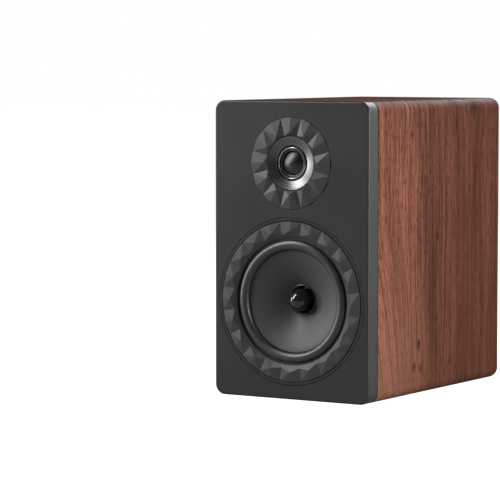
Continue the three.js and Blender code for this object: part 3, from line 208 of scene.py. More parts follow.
def bake(piece):
    """Applies a piece's modifiers to its mesh."""
    graph = bpy.context.evaluated_depsgraph_get()
    mesh = bpy.data.meshes.new_from_object(piece.evaluated_get(graph))
    old = piece.data
    piece.modifiers.clear()
    piece.data = mesh
    bpy.data.meshes.remove(old)


def combine(piece, others, operation="DIFFERENCE"):
    """Cuts the others from a piece, or joins them to it, and removes them."""
    for other in others:
        step = piece.modifiers.new("combine", "BOOLEAN")
        step.operation = operation
        step.solver = "EXACT"
        step.object = other
    bake(piece)
    for other in others:
        mesh = other.data
        bpy.data.objects.remove(other)
        bpy.data.meshes.remove(mesh)
    piece.data.shade_smooth()
    piece.data.set_sharp_from_angle(angle=SMOOTH_ANGLE)


def level(piece):
    """Keeps wide flat faces flat in the shading beside small rounded ones."""
    normals = piece.modifiers.new("normals", "WEIGHTED_NORMAL")
    normals.keep_sharp = True


def settle(piece, body, material, slot, *nodes):
    """Gives a piece its material, the body it rides on and the nodes it stands for. The slot is not used."""
    piece.data.materials.clear()
    piece.data.materials.append(material)
    if body:
        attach(piece, body)
    if nodes:
        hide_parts(*nodes)


def flex(piece, moving, centre, inner, outer):
    """A turned piece that stays put at its outer radius and follows a moving body at its inner one."""
    at = Vector(point(centre[0], 0, centre[1]))
    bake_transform(piece, "root", moving, start=at, end=at + Vector((0, 0.01, 0)))
    mesh = piece.data
    places = np.zeros(len(mesh.vertices) * 3)
    mesh.vertices.foreach_get("co", places)
    places = places.reshape(-1, 3)
    radius = np.hypot(places[:, 0] - at.x, places[:, 2] - at.z) / MM
    share = np.clip((outer - radius) / (outer - inner), 0, 1)
    weight = share * share * (3 - 2 * share)  # no kink at either radius
    mesh.attributes["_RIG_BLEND"].data.foreach_set("value", weight.astype(np.float32))


# ---- Node helpers ----


class Look:
    """A material's node tree, with short calls for the nodes it is made of."""

    def __init__(self, name):
        self.material = bpy.data.materials.new(name)
        self.material.use_nodes = True
        self.tree = self.material.node_tree
        self.tree.nodes.clear()
        self.shader = self.tree.nodes.new("ShaderNodeBsdfPrincipled")
        output = self.tree.nodes.new("ShaderNodeOutputMaterial")
        self.tree.links.new(self.shader.outputs[0], output.inputs[0])
        self.place = self.add("ShaderNodeTexCoord").outputs["Object"]

    def add(self, kind, inputs=(), **settings):
        node = self.tree.nodes.new(kind)
        for key, value in settings.items():
            setattr(node, key, value)
        for key, value in dict(inputs).items():
            self.feed(node.inputs[key], value)
        return node

    def feed(self, socket, value):
        if isinstance(value, bpy.types.NodeSocket):
            self.tree.links.new(value, socket)
        else:
            socket.default_value = value

    def set(self, **values):
        for key, value in values.items():
            self.feed(self.shader.inputs[key.replace("_", " ")], value)

    def calc(self, operation, a, b=0.0, c=0.0):
        return self.add("ShaderNodeMath", {0: a, 1: b, 2: c}, operation=operation).outputs[0]

    def times(self, a, b, plus=0.0):
        return self.calc("MULTIPLY_ADD", a, b, plus)

    def minus(self, a, b):
        return self.calc("SUBTRACT", a, b)

    def square_sum(self, a, b):
        return self.times(a, a, self.times(b, b))

    def radius(self, centre):
        """How far a place is from the line along Y through centre."""
        x, y, z = self.split(self.place)
        square = self.square_sum(self.minus(x, centre[0] * MM), self.minus(z, centre[1] * MM))
        return self.calc("SQRT", square)

    def stretch(self, vector, scale, location=(0, 0, 0)):
        inputs = dict(Vector=vector, Scale=scale, Location=location)
        return self.add("ShaderNodeMapping", inputs).outputs[0]

    def split(self, vector):
        return self.add("ShaderNodeSeparateXYZ", {0: vector}).outputs

    def vector(self, x, y, z):
        return self.add("ShaderNodeCombineXYZ", {0: x, 1: y, 2: z}).outputs[0]

    def noise(self, vector, scale=1.0, detail=2.0, roughness=0.5, distortion=0.0):
        inputs = dict(Vector=vector, Scale=scale, Detail=detail, Roughness=roughness)
        return self.add("ShaderNodeTexNoise", {**inputs, "Distortion": distortion}).outputs[0]

    def drawn_noise(self, vector, stretch, location=(0, 0, 0), detail=2, roughness=0.5):
        """Noise drawn out by a different scale along each axis."""
        return self.noise(self.stretch(vector, stretch, location), 1, detail, roughness)

    def cells(self, vector, scale):
        return self.add("ShaderNodeTexVoronoi", dict(Vector=vector, Scale=scale)).outputs["Distance"]

    def remap(self, value, low, high, to_low=0.0, to_high=1.0):
        inputs = {0: value, 1: low, 2: high, 3: to_low, 4: to_high}
        return self.add("ShaderNodeMapRange", inputs, clamp=True).outputs[0]

    def mix(self, share, a, b):
        """A colour between a and b. Sockets 6, 7 and output 2 are the mix node's colour ones."""
        node = self.add("ShaderNodeMix", data_type="RGBA")
        self.feed(node.inputs[0], share)
        self.feed(node.inputs[6], a)
        self.feed(node.inputs[7], b)
        return node.outputs[2]

    def bump(self, height, strength, distance):
        inputs = dict(Height=height, Strength=strength, Distance=distance)
        self.feed(self.shader.inputs["Normal"], self.add("ShaderNodeBump", inputs).outputs[0])


def grey(value, tint=0.0):
    """A grey that leans blue by tint."""
    return (value * (1 - tint), value, value * (1 + tint), 1.0)


def moulded(name, colour, other, roughness, grain=1.0, depth=0.00004, **more):
    """Painted or moulded: a mottled colour, a fine grain and faint patches in the sheen."""
    look = Look(name)
    fine = look.noise(look.place, 2600 * grain, 3, 0.6)
    broad = look.noise(look.place, 38, 3, 0.55)
    both = look.times(fine, 0.5, look.times(broad, 0.5))
    shade = look.remap(both, 0.35, 0.65)
    sheen = look.remap(broad, 0.3, 0.7, roughness * 0.9, roughness * 1.12)
    look.set(Base_Color=look.mix(shade, colour, other), Roughness=sheen, **more)
    look.bump(fine, 0.35, depth)
    return look.material


def brushed(name, colour, other, roughness, centre, lines=900.0, **more):
    """Turned metal with fine lines round the axis through centre, or along Y without one."""
    look = Look(name)
    if centre is None:
        drawn = look.stretch(look.place, (lines, 6.0, lines))
    else:
        along = look.times(look.split(look.place)[1], lines)
        drawn = look.vector(look.times(look.radius(centre), lines * 5), along, 0.0)
    streak = look.noise(drawn, 1.0, 4, 0.65)
    wear = look.noise(look.place, 60, 3, 0.5)
    both = look.calc("ADD", streak, wear)
    look.set(
        Base_Color=look.mix(look.remap(streak, 0.3, 0.7), colour, other),
        Metallic=1.0,
        Roughness=look.remap(both, 0.6, 1.4, roughness * 0.8, roughness * 1.25),
        **more,
    )
    look.bump(streak, 0.25, 0.00002)
    return look.material


def fibrous(name, colour, other, roughness, scale, depth=0.0001):
    """Short random fibres, for board and loose fill."""
    look = Look(name)
    first = look.noise(look.stretch(look.place, (scale, scale * 0.25, scale * 0.3)), 1, 3, 0.6, 0.6)
    second = look.noise(look.stretch(look.place, (scale * 0.3, scale * 0.5, scale)), 1, 3, 0.6, 0.6)
    both = look.calc("MAXIMUM", first, second)
    look.set(Base_Color=look.mix(look.remap(both, 0.4, 0.72), colour, other), Roughness=roughness)
    look.bump(both, 0.6, depth)
    return look.material


# ---- Materials ----
VENEER_LAYERS = [  # stretch, offset, detail, roughness, range of the noise, share of the tone
    ((1.6, 34, 3), (0, 0, 0), 2, 0.5, (0.38, 0.62), 0.18),
    ((2.4, 105, 3), (8, 2, 0), 2, 0.55, (0.42, 0.58), 0.24),
    ((7, 250, 3), (3, 7, 0), 3, 0.65, (0.455, 0.545), 0.32),
    ((22, 560, 3), (1, 3, 0), 3, 0.7, (0.455, 0.545), 0.22),
    ((50, 1900, 3), (5, 1, 0), 3, 0.7, (0.40, 0.60), 0.08),
]
KNOTS = [  # depth and height in metres, half width, half height, strength
    (0.161, 0.181, 0.0034, 0.0050, 0.75),
    (0.140, 0.100, 0.0022, 0.0060, 0.70),
    (0.117, 0.058, 0.0040, 0.0075, 0.85),
    (0.106, 0.033, 0.0050, 0.0060, 0.65),
    (0.122, 0.030, 0.0040, 0.0060, 0.60),
    (0.207, 0.310, 0.0026, 0.0080, 0.85),
    (0.253, 0.331, 0.0120, 0.0110, 0.65),
]
STREAKS = [  # depth of the middle in metres, half width, strength
    (0.150, 0.030, 0.85),
    (0.186, 0.012, 0.40),
    (0.222, 0.020, 0.85),
    (0.268, 0.014, 0.60),
    (0.300, 0.012, 0.50),
]
WOOD_DARK = (0.018, 0.0048, 0.0028, 1)
WOOD_LIGHT = (0.345, 0.126, 0.076, 1)
WOOD_RED = (0.150, 0.052, 0.026, 1)
WOOD_STREAK = (0.040, 0.0130, 0.0072, 1)
WOOD_FLECK = (0.028, 0.0085, 0.0050, 1)
# painted sheen: a paler, greyer veneer colour laid on the lower front
WOOD_PAINTED_SHEEN = (0.330, 0.165, 0.118, 1)
# painted shade: a dark colour laid over the veneer towards the back
WOOD_REAR_SHADE = (0.050, 0.0120, 0.0060, 1)
WOOD_PORE = (0.020, 0.007, 0.004, 1)
WOOD_KNOT = (0.010, 0.004, 0.003, 1)
LEAN_HEIGHT = 0.19  # below this, in metres, the rings lean
LEAN_REACH = 0.125  # how far behind the front they do
LEAN_SLOPE = 0.55
RING_BEND = 0.016


def bend_rings(look, grain):
    """The depth that each place's growth ring started from, and how dark the knots make it."""
    height, depth, leaf = look.split(grain)
    drop = look.calc("MAXIMUM", look.minus(LEAN_HEIGHT, height), 0.0)
    near = look.remap(depth, 0.0, LEAN_REACH, 1.0, 0.0)
    lean = look.times(look.times(drop, near), LEAN_SLOPE)
    slow = look.drawn_noise(grain, (5.0, 9.0, 1.0))
    ring = look.minus(depth, lean)
    ring = look.times(look.minus(slow, 0.5), RING_BEND, ring)
    dark = 0.0
    for knot_depth, knot_height, half_width, half_height, strength in KNOTS:
        across = look.calc("DIVIDE", look.minus(depth, knot_depth), half_width)
        along = look.calc("DIVIDE", look.minus(height, knot_height), half_height)
        away = look.square_sum(across, along)
        pull = look.calc("DIVIDE", across, look.times(away, 1.0, 2.0))
        ring = look.times(pull, -half_width * 1.6, ring)
        dark = look.calc("MAXIMUM", look.remap(away, 0.1, 1.6, strength, 0.0), dark)
    smear = look.drawn_noise(grain, (90, 600, 1), detail=3, roughness=0.7)
    return ring, look.times(dark, look.remap(smear, 0.36, 0.52, 0.35, 1.0))


def make_walnut():
    """Veneer. The attribute grain holds (height up the right side, depth, leaf) along the sheet."""
    look = Look("walnut")
    grain = look.add("ShaderNodeAttribute", attribute_name="grain").outputs["Vector"]
    height, depth, leaf = look.split(grain)
    ring, knots = bend_rings(look, grain)
    sheet = look.vector(height, ring, leaf)
    shade, layers = 0.0, []
    for stretch, offset, detail, roughness, limits, share in VENEER_LAYERS:
        layers.append(look.drawn_noise(sheet, stretch, offset, detail, roughness))
        shade = look.times(look.remap(layers[-1], *limits), share, shade)
    lines, hair = layers[-2:]
    colour = look.mix(shade, WOOD_DARK, WOOD_LIGHT)
    red = look.remap(look.drawn_noise(sheet, (1.1, 22, 2), (2, 5, 1)), 0.4, 0.65)
    colour = look.mix(look.times(red, 0.45), colour, WOOD_RED)
    deep = 0.0
    for middle, half_width, strength in STREAKS:
        away = look.calc("ABSOLUTE", look.minus(ring, middle))
        deep = look.calc("MAXIMUM", look.remap(away, 0.0, half_width, strength, 0.0), deep)
    waver = look.remap(look.drawn_noise(sheet, (3, 60, 1), (4, 2, 8), 2, 0.6), 0.3, 0.6)
    colour = look.mix(look.times(deep, waver), colour, WOOD_STREAK)
    fleck = look.drawn_noise(sheet, (75, 620, 3), (2, 9, 0), 2, 0.6)
    flecks = look.remap(fleck, 0.53, 0.60, 0.0, 0.70)
    colour = look.mix(flecks, colour, WOOD_FLECK)
    # painted sheen: the veneer is made paler towards the bottom, most near the front of the sides
    low, front = look.remap(height, 0.02, 0.17, 0.22, 0.0), look.remap(depth, 0.06, 0.17, 1.0, 0.3)
    colour = look.mix(look.times(low, front), colour, WOOD_PAINTED_SHEEN)
    # painted shade: the veneer darkens towards the back
    colour = look.mix(look.remap(depth, 0.05, 0.22, 0.0, 0.64), colour, WOOD_REAR_SHADE)
    pore = look.drawn_noise(sheet, (130, 2600, 3), (9, 4, 0), 1)
    colour = look.mix(look.remap(pore, 0.60, 0.70, 0.0, 0.55), colour, WOOD_PORE)
    colour = look.mix(knots, colour, WOOD_KNOT)
    look.set(Base_Color=colour, Roughness=look.remap(shade, 0.2, 0.8, 0.60, 0.48), IOR=1.14)
    fibres = look.times(lines, 0.8, look.times(hair, 0.5))
    look.bump(look.minus(fibres, flecks), 0.5, 0.00012)
    return look.material


def make_lacquer():
    """Satin paint on board: a fine speck, faint clouds and a shallow orange peel."""
    look = Look("satin_lacquer")
    speck = look.noise(look.place, 1500, 3, 0.6)
    cloud = look.noise(look.place, 14, 3, 0.5)
    both = look.times(speck, 0.4, look.times(cloud, 0.6))
    look.set(
        Base_Color=look.mix(
            look.remap(both, 0.35, 0.65), (0.0178, 0.0178, 0.0180, 1), (0.0210, 0.0210, 0.0213, 1)
        ),
        Roughness=look.remap(cloud, 0.3, 0.7, 0.40, 0.46),
        Specular_IOR_Level=0.5,
    )
    look.bump(look.noise(look.place, 900, 2, 0.5), 0.25, 0.00003)
    return look.material


def make_cone_paper():
    """Pressed fibre with faint rings from its mould."""
    look = Look("cone_fibre")
    fine = look.noise(look.place, 1700, 4, 0.65, 0.5)
    fibre = look.noise(look.stretch(look.place, (900, 900, 420)), 1, 3, 0.6, 1.2)
    out = look.times(look.radius(WOOFER), 700)
    rings = look.noise(look.vector(out, 0.0, 0.0), 1, 2, 0.5)
    mottle = look.times(fine, 0.5, look.times(fibre, 0.5))
    colour = look.mix(look.remap(mottle, 0.38, 0.64), grey(0.045), grey(0.075))
    rough = look.remap(mottle, 0.3, 0.7, 0.42, 0.54)
    look.set(Base_Color=colour, Roughness=rough, Specular_IOR_Level=0.45)
    look.bump(look.times(rings, 0.35, mottle), 0.45, 0.00012)
    return look.material


def make_cloth(name, colour, other, pitch, roughness, **more):
    """Plain weave: two sets of threads, over and under."""
    look = Look(name)
    x, y, z = look.split(look.place)
    first = look.calc("SINE", look.times(x, 2 * math.pi / pitch))
    second = look.calc("SINE", look.times(z, 2 * math.pi / pitch))
    weave = look.times(first, second)
    fuzz = look.noise(look.place, 900, 3, 0.6)
    height = look.times(weave, 0.5, fuzz)
    shade = look.remap(height, 0.1, 0.9)
    look.set(Base_Color=look.mix(shade, colour, other), Roughness=roughness, **more)
    look.bump(height, 0.5, 0.00008)
    return look.material


WIRE_PITCH = 0.0009


def make_windings():
    """Enamelled wire, laid side by side along Y."""
    look = Look("copper_windings")
    along = look.split(look.place)[1]
    turns = look.calc("SINE", look.times(along, 2 * math.pi / WIRE_PITCH))
    tint = look.noise(look.place, 300, 3, 0.6)
    colour = look.mix(look.remap(tint, 0.3, 0.7), (0.42, 0.13, 0.045, 1), (0.66, 0.26, 0.10, 1))
    look.set(Base_Color=colour, Metallic=0.9, Roughness=look.remap(turns, -1, 1, 0.45, 0.28))
    look.bump(turns, 0.6, 0.0001)
    return look.material


def make_board():
    """Green solder mask over copper islands."""
    look = Look("circuit_board")
    tracks = look.cells(look.stretch(look.place, (120, 1, 120)), 1.0)
    weave = look.noise(look.place, 1200, 2, 0.5)
    base = look.mix(look.remap(weave, 0.3, 0.7), (0.010, 0.080, 0.036, 1), (0.016, 0.110, 0.050, 1))
    colour = look.mix(look.remap(tracks, 0.46, 0.50), base, (0.030, 0.170, 0.070, 1))
    look.set(Base_Color=colour, Roughness=look.remap(weave, 0.3, 0.7, 0.38, 0.5))
    look.bump(tracks, 0.2, 0.0001)
    return look.material


WALNUT = make_walnut()
LACQUER = make_lacquer()
FACETS = moulded(
    "facet_plastic", grey(0.031, 0.01), grey(0.037, 0.01), 0.46, Specular_IOR_Level=0.55
)
FRAME_BLACK = moulded("frame_paint", grey(0.016, 0.02), grey(0.021, 0.02), 0.42)
RUBBER = moulded(
    "surround_rubber", grey(0.0200, 0.01), grey(0.0250, 0.01), 0.38, 0.6, Specular_IOR_Level=0.85
)
CONE = make_cone_paper()
GLOSS = moulded("gloss_black", grey(0.012), grey(0.016), 0.10, 0.4, 0.000004, Coat_Weight=0.6)
GUIDE = brushed("turned_aluminium", grey(0.085, 0.01), grey(0.21, 0.01), 0.265, TWEETER, 260)
SILVER = brushed("bright_ring", grey(0.50), grey(0.60), 0.30, TWEETER)
SILK = make_cloth(
    "coated_silk", grey(0.0045), grey(0.0085), 0.0006, 0.27, Specular_IOR_Level=0.8, Sheen_Weight=0.1
)
PLASTIC = moulded("grained_plastic", grey(0.0105), grey(0.0150), 0.50, 0.5, 0.00010)
RED = moulded("red_plastic", (0.30, 0.008, 0.010, 1), (0.38, 0.014, 0.016, 1), 0.30, Coat_Weight=0.2)
GOLD = brushed("gold_plate", (0.62, 0.38, 0.11, 1), (0.78, 0.52, 0.19, 1), 0.24, None)
STEEL = brushed("plated_steel", grey(0.30, 0.01), grey(0.46, 0.01), 0.34, None)
BLACK_SCREW = moulded("blackened_screw", grey(0.016), grey(0.030), 0.34, Metallic=0.7)
FERRITE = moulded("ferrite", grey(0.022), grey(0.036), 0.66, 0.3, 0.00012)
SPIDER_CLOTH = make_cloth("resined_cloth", (0.32, 0.15, 0.035, 1), (0.50, 0.27, 0.08, 1), 0.0009, 0.8)
FIBREBOARD = fibrous("fibreboard", (0.26, 0.165, 0.085, 1), (0.42, 0.29, 0.165, 1), 0.88, 700)
WADDING = fibrous("loose_fibre", (0.60, 0.59, 0.54, 1), (0.84, 0.83, 0.79, 1), 0.95, 260, depth=0.0008)
CERAMIC = moulded("ceramic", (0.66, 0.64, 0.58, 1), (0.78, 0.76, 0.70, 1), 0.72, 0.3, 0.00012)
FILM = moulded("wrapped_film", (0.014, 0.042, 0.13, 1), (0.022, 0.060, 0.18, 1), 0.30, Coat_Weight=0.3)
FORMER_FOIL = moulded("coil_former_foil", grey(0.060), grey(0.085), 0.40, 0.5)
RIM_METAL = brushed("former_rim", grey(0.16), grey(0.24), 0.26, WOOFER)
SIGN_PAINT = moulded("sign_paint", grey(0.42), grey(0.52), 0.55)
LEAD = moulded("lead_jacket", grey(0.012), grey(0.020), 0.44, 0.7)
WINDING = make_windings()
BOARD = make_board()

# ---- Camera and light ----
scene = bpy.context.scene
scene.view_settings.view_transform = "Standard"
scene.view_settings.look = "None"

CAMERA_PLACE = (1.579, FRONT - 2.595, 0.393)
CAMERA_TILT = math.radians(90 - 4.18)  # it looks down by 4.18 degrees
CAMERA_TURN = 0.5618
LENS = 193.2  # in millimetres, on a sensor 36 mm wide
LIGHTS = [  # name, place, what it points at, width and height, watts
    ("key", (-1.42, -1.52, 1.60), (0, -0.1, 0.17), (0.50, 1.9), 44),
    ("left", (-1.70, -0.90, 0.36), (0, -0.1, 0.17), (0.3, 0.9), 12),
    ("side", (1.0, FRONT + 0.02, 0.40), (0.1, FRONT + 0.10, 0.16), (0.5, 0.5), 11.5),
    ("behind", (1.45, 2.10, 0.85), (0.1, 0.0, 0.20), (1.7, 1.5), 14),
    ("rear", (-0.10, 2.30, 1.30), (0.0, 0.1, 0.17), (1.2, 1.0), 34),
]
FLOOR_REACH = 14.0
FLOOR_GLOW = 0.985  # keeps the floor as white as the room behind it

camera_data = bpy.data.cameras.new("camera")
camera_data.lens = LENS
camera_data.sensor_width = 36.0
camera_data.clip_end = 60.0
camera = bpy.data.objects.new("camera", camera_data)
camera.location = CAMERA_PLACE
camera.rotation_euler = (CAMERA_TILT, 0.0, CAMERA_TURN)
scene.collection.objects.link(camera)
scene.camera = camera

for name, place, target, size, power in LIGHTS:
    lamp = bpy.data.lights.new(name, "AREA")
    lamp.shape = "RECTANGLE"
    lamp.size, lamp.size_y = size
    lamp.energy = power
    light = bpy.data.objects.new(name, lamp)
    light.location = place
    light.rotation_euler = (Vector(target) - Vector(place)).to_track_quat("-Z", "Y").to_euler()
    scene.collection.objects.link(light)

AMBIENT = 0.05  # light from the white room; the camera sees the room itself as plain white
world = bpy.data.worlds.new("studio")
world.use_nodes = True
scene.world = world
background = world.node_tree.nodes["Background"]
background.inputs["Color"].default_value = (1.0, 1.0, 1.0, 1.0)
seen = world.node_tree.nodes.new("ShaderNodeLightPath").outputs["Is Camera Ray"]
strength = world.node_tree.nodes.new("ShaderNodeMapRange")
strength.inputs["To Min"].default_value = AMBIENT
strength.inputs["To Max"].default_value = 1.0
world.node_tree.links.new(seen, strength.inputs["Value"])
world.node_tree.links.new(strength.outputs[0], background.inputs["Strength"])


def make_floor():
    """A pale floor that the camera sees as plain white."""
    look = Look("studio_floor")
    mottle = look.noise(look.place, 3, 2, 0.5)
    seen = look.add("ShaderNodeLightPath").outputs["Is Camera Ray"]
    look.set(Base_Color=look.mix(mottle, grey(0.36), grey(0.38)), Roughness=0.75)
    look.set(Emission_Color=grey(1.0), Emission_Strength=look.times(seen, FLOOR_GLOW))
    corners = [(x * FLOOR_REACH, y * FLOOR_REACH, 0) for x, y in [(-1, -1), (1, -1), (1, 1), (-1, 1)]]
    floor = add_mesh("floor", corners, [(0, 1, 2, 3)], smooth=False)
    floor.data.materials.append(look.material)


make_floor()

# ---- Cabinet ----
CUP_LOW, CUP_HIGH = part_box("terminal_cup")
FLANGE = ((CUP_HIGH.x - CUP_LOW.x) / MM, (CUP_HIGH.z - CUP_LOW.z) / MM, 10.0)
CUP_INSIDE = (92.0, 72.0, 8.0)  # width, height and corner, as in FLANGE
CUP_WALL = 2.5
CUP_DEPTH = 28.0
FLANGE_THICKNESS = 3.0
PORT_BORE = 22.0
PORT_FLARE = 13.0
PORT_FLANGE = 38.0
PORT_WALL = 3.0
GAP = 0.3
SCREW_HEAD = 3.4
SCREW_HOLE = 2.2
BEYOND = 5  # how far a cutter runs past what it cuts
GROOVE_WIDTH = 0.9  # the shadow line between the baffle and the sleeve
GROOVE_DEPTH = 1.2
BACK_LEAF = (160, 3.0)  # where the back's sheet starts, and its own leaf, unlike the sleeve's
TERMINAL_SCREWS = axes_of("terminal_screw", 4)


def cup_outline(shape, grow):
    """The terminal cup's flange or inside, grown outwards all round."""
    width, height, corner = shape
    return rounded_outline(width + 2 * grow, height + 2 * grow, corner + grow, *CUP)


def cylinder(name, centre, radius, start, end, sides=48):
    return lathe(name, [(0, start), (radius, start), (radius, end), (0, end)], centre, sides)


def mark_grain(mesh):
    """Lays the veneer's sheet over the cabinet: up each side and across the top in one run."""
    half_width, half_height = WIDTH / 2 - LONG_EDGE, HEIGHT / 2 - LONG_EDGE
    quarter = LONG_EDGE * math.pi / 2
    side_top = half_width + quarter
    bottom_start = side_top + 2 * half_height + quarter
    round_start = DEPTH - REAR_EDGE

    def run(x, z):
        """How far round the cabinet a place is from the middle of the top."""
        out, up = abs(x) - half_width, abs(z - HEIGHT / 2) - half_height
        upper = z > HEIGHT / 2
        if out > 0 and up > 0:
            turn = LONG_EDGE * math.atan2(out, up)
            return half_width + turn if upper else bottom_start - turn
        if out > up:
            return side_top + half_height - (z - HEIGHT / 2)
        return abs(x) if upper else bottom_start + half_width - abs(x)

    layer = mesh.attributes.new("grain", "FLOAT_VECTOR", "CORNER")
    values = np.zeros((len(mesh.loops), 3), np.float32)
    height_zero = side_top + half_height + HEIGHT / 2
    for face in mesh.polygons:
        middle = face.center / MM
        flat = abs(middle.x) < half_width
        below = flat and middle.z < LONG_EDGE
        above = flat and middle.z > HEIGHT - LONG_EDGE
        flat_back = face.normal.y > 0.999
        for loop in face.loop_indices:
            x, y, z = mesh.vertices[mesh.loops[loop].vertex_index].co / MM
            depth = y - FRONT / MM
            if flat_back:
                values[loop] = (z * MM, (x + BACK_LEAF[0]) * MM, BACK_LEAF[1])
                continue
            around = run(x, z)
            if below:  # a wide face has corners on both sides of the middle, so x keeps its sign
                around = bottom_start + half_width - x
            elif above:
                around = x
            elif middle.x < 0:
                around = -around
            if depth > round_start:
                turn = math.asin(min((depth - round_start) / REAR_EDGE, 1))
                depth = round_start + REAR_EDGE * turn
            values[loop] = ((height_zero - around) * MM, depth * MM, 0.0)
    layer.data.foreach_set("vector", values.ravel())


def build_cabinet():
    shell = rounded_box("cabinet", SLEEVE_START, DEPTH, LONG_EDGE, REAR_EDGE, True)
    middle = HEIGHT / 2
    inside = rounded_outline(WIDTH - 2 * WALL, HEIGHT - 2 * WALL, 0.5, 0, middle, 2)
    neck = PORT_BORE + PORT_WALL + PORT_FLARE / 2 + GAP
    seat = DEPTH - FLANGE_THICKNESS - GAP
    cutters = [
        slab("inside", inside, SLEEVE_START - BEYOND, BACK_START - GAP),
        slab("tray", cup_outline(CUP_INSIDE, CUP_WALL + GAP), BACK_START - BEYOND, DEPTH + BEYOND),
        slab("rim", cup_outline(FLANGE, GAP), seat, DEPTH + BEYOND),
        cylinder("neck", PORT, neck, BACK_START - BEYOND, DEPTH + BEYOND, 96),
        cylinder("seat", PORT, PORT_FLANGE + GAP, seat, DEPTH + BEYOND, 96),
    ]
    for i, centre in enumerate(TERMINAL_SCREWS):
        cutters.append(cylinder(f"hole_{i}", centre, SCREW_HOLE, seat - 12, DEPTH + BEYOND, 24))

    def band(name, grow, start, end):
        outline = rounded_outline(WIDTH + 2 * grow, HEIGHT + 2 * grow, LONG_EDGE + grow, 0, middle, 16)
        return slab(name, outline, SLEEVE_START + start, SLEEVE_START + end)

    groove = band("groove", 2, -2, GROOVE_WIDTH)
    combine(groove, [band("core", -GROOVE_DEPTH, -4, 4)])
    combine(shell, [*cutters, groove])
    mark_grain(shell.data)
    level(shell)
    panels = ("left_panel", "right_panel", "top_panel", "bottom_panel", "back_panel")
    settle(shell, "root", WALNUT, "walnut", *panels)


WOOFER_FRAME = 95.6
TWEETER_FRAME = 52.1
REBATE_DEPTH = 8.0
WOOFER_OPENING = 79.2
TWEETER_OPENING = 34.8
MAGNET_POCKET = 6.4
WOOFER_SCREWS = axes_of("woofer_screw", 4)
TWEETER_SCREWS = axes_of("tweeter_screw", 3)
MAGNETS = axes_of("grille_magnet", 4)


def build_baffle():
    panel = rounded_box("baffle_panel", 0.0, BAFFLE_END, LONG_EDGE, FRONT_EDGE, False, 6)
    cutters = []
    through = 30  # well behind the panel
    for name, centre, rebate, hole in [
        ("woofer", WOOFER, WOOFER_FRAME + 0.4, WOOFER_OPENING),
        ("tweeter", TWEETER, TWEETER_FRAME + 0.5, TWEETER_OPENING),
    ]:
        outline = [(0, -BEYOND), (rebate, -BEYOND), (rebate, REBATE_DEPTH), (hole, REBATE_DEPTH)]
        cutters.append(lathe(name, [*outline, (hole, through), (0, through)], centre))
    for i, centre in enumerate(WOOFER_SCREWS + TWEETER_SCREWS):
        cutters.append(cylinder(f"hole_{i}", centre, SCREW_HOLE, 6.0, 15.8, 16))
    for i, centre in enumerate(MAGNETS):
        cutters.append(cylinder(f"pocket_{i}", centre, MAGNET_POCKET, 2.0, through, 32))
    combine(panel, cutters)
    level(panel)
    settle(panel, "root", LACQUER, "baffle", "baffle")


build_cabinet()
build_baffle()

# ---- Woofer ----
SURROUND_OUTER = 70.5
SURROUND_INNER = 58.7
ROLL_HEIGHT = 5.0
CONE_RIM = 58.4
CONE_NECK = 17.7
NECK_DEPTH = 27.0
RIM_DEPTH = 6.5
CONE_CURVE = 1.3
CONE_THICKNESS = 1.2
SEAT_DEPTH = 5.2
PLUG_RADIUS = 12.5
PLUG_APEX = 7.5
TRIM_SEAT = 3.5  # depth of the ledge that the faceted ring lies on
FRAME_LEDGE = 5.5  # depth of the ledge that the surround is glued to
FRAME_BACK = 7.7  # depth of the back of the frame's flange
BASKET_RADIUS = 78.6
BASKET_WALL = 3.0
BASKET_SHOULDER = 15.0  # depth where the tube turns in towards the magnet
BASKET_REAR = 49.7
SPIDER_SEAT = (57.0, 42.1)  # radius and depth of the basket's outer corner behind the spider
FORMER_RADII = (16.8, 17.4)  # inner and outer radius of the coil's former
COIL_START = 47.0
COIL_RADIUS = 18.6


def cone_depth(radius):
    """Depth of the cone's front, which curves from its rim down to its neck."""
    share = (CONE_RIM - radius) / (CONE_RIM - CONE_NECK)
    return RIM_DEPTH + (NECK_DEPTH - RIM_DEPTH) * max(share, 0) ** CONE_CURVE


def faceted_ring(name, form, inner, outer, back, centre, nodes):
    """A folded ring. Its valleys run out to the rim, and its peaks stand between them.

    The form gives the count of peaks, the height of the inner edge, the peaks' and the valleys'
    share of the way out and height, and the rim's greatest height.
    """
    repeats, inner_height, peak_share, peak_height, valley_share, valley_height, rim_height = form
    count, steps = 2 * repeats, 8
    peak_radius = inner + peak_share * (outer - inner)
    valley_radius = inner + valley_share * (outer - inner)
    vertices, rim, fold, edge, inner_back, rim_back = [], [], [], [], [], []

    def place(row, radius, height, angle):
        row.append(len(vertices))
        x, z = radius * math.sin(angle), radius * math.cos(angle)
        vertices.append(point(centre[0] + x, -height, centre[1] + z))

    for i in range(count):
        for k in range(steps):
            angle = math.pi * (i + 1 + k / steps) / repeats
            lift = k / steps if i % 2 == 0 else 1 - k / steps
            place(rim, outer, rim_height * lift, angle)
            place(edge, inner, inner_height, angle)
            place(inner_back, inner, -back, angle)
            place(rim_back, outer, -back, angle)
        radius, height = (peak_radius, peak_height) if i % 2 else (valley_radius, valley_height)
        place(fold, radius, height, math.pi * (i + 1) / repeats)
    faces = []
    total = count * steps
    for i in range(count):
        after = (i + 1) % count
        arc = [(i * steps + k) % total for k in range(steps + 1)]
        low, high = (i, after) if i % 2 == 0 else (after, i)
        faces.append([rim[a] for a in arc] + [fold[high]])
        faces.append([rim[low * steps % total], fold[i], fold[after]])
        faces.append([fold[after], fold[i]] + [edge[a] for a in arc])
    for a, b in [(edge, inner_back), (inner_back, rim_back), (rim_back, rim)]:
        for i in range(total):
            j = (i + 1) % total
            faces.append([a[i], b[i], b[j], a[j]])
    settle(add_mesh(name, vertices, faces, smooth=False), "root", FACETS, "facets", *nodes)


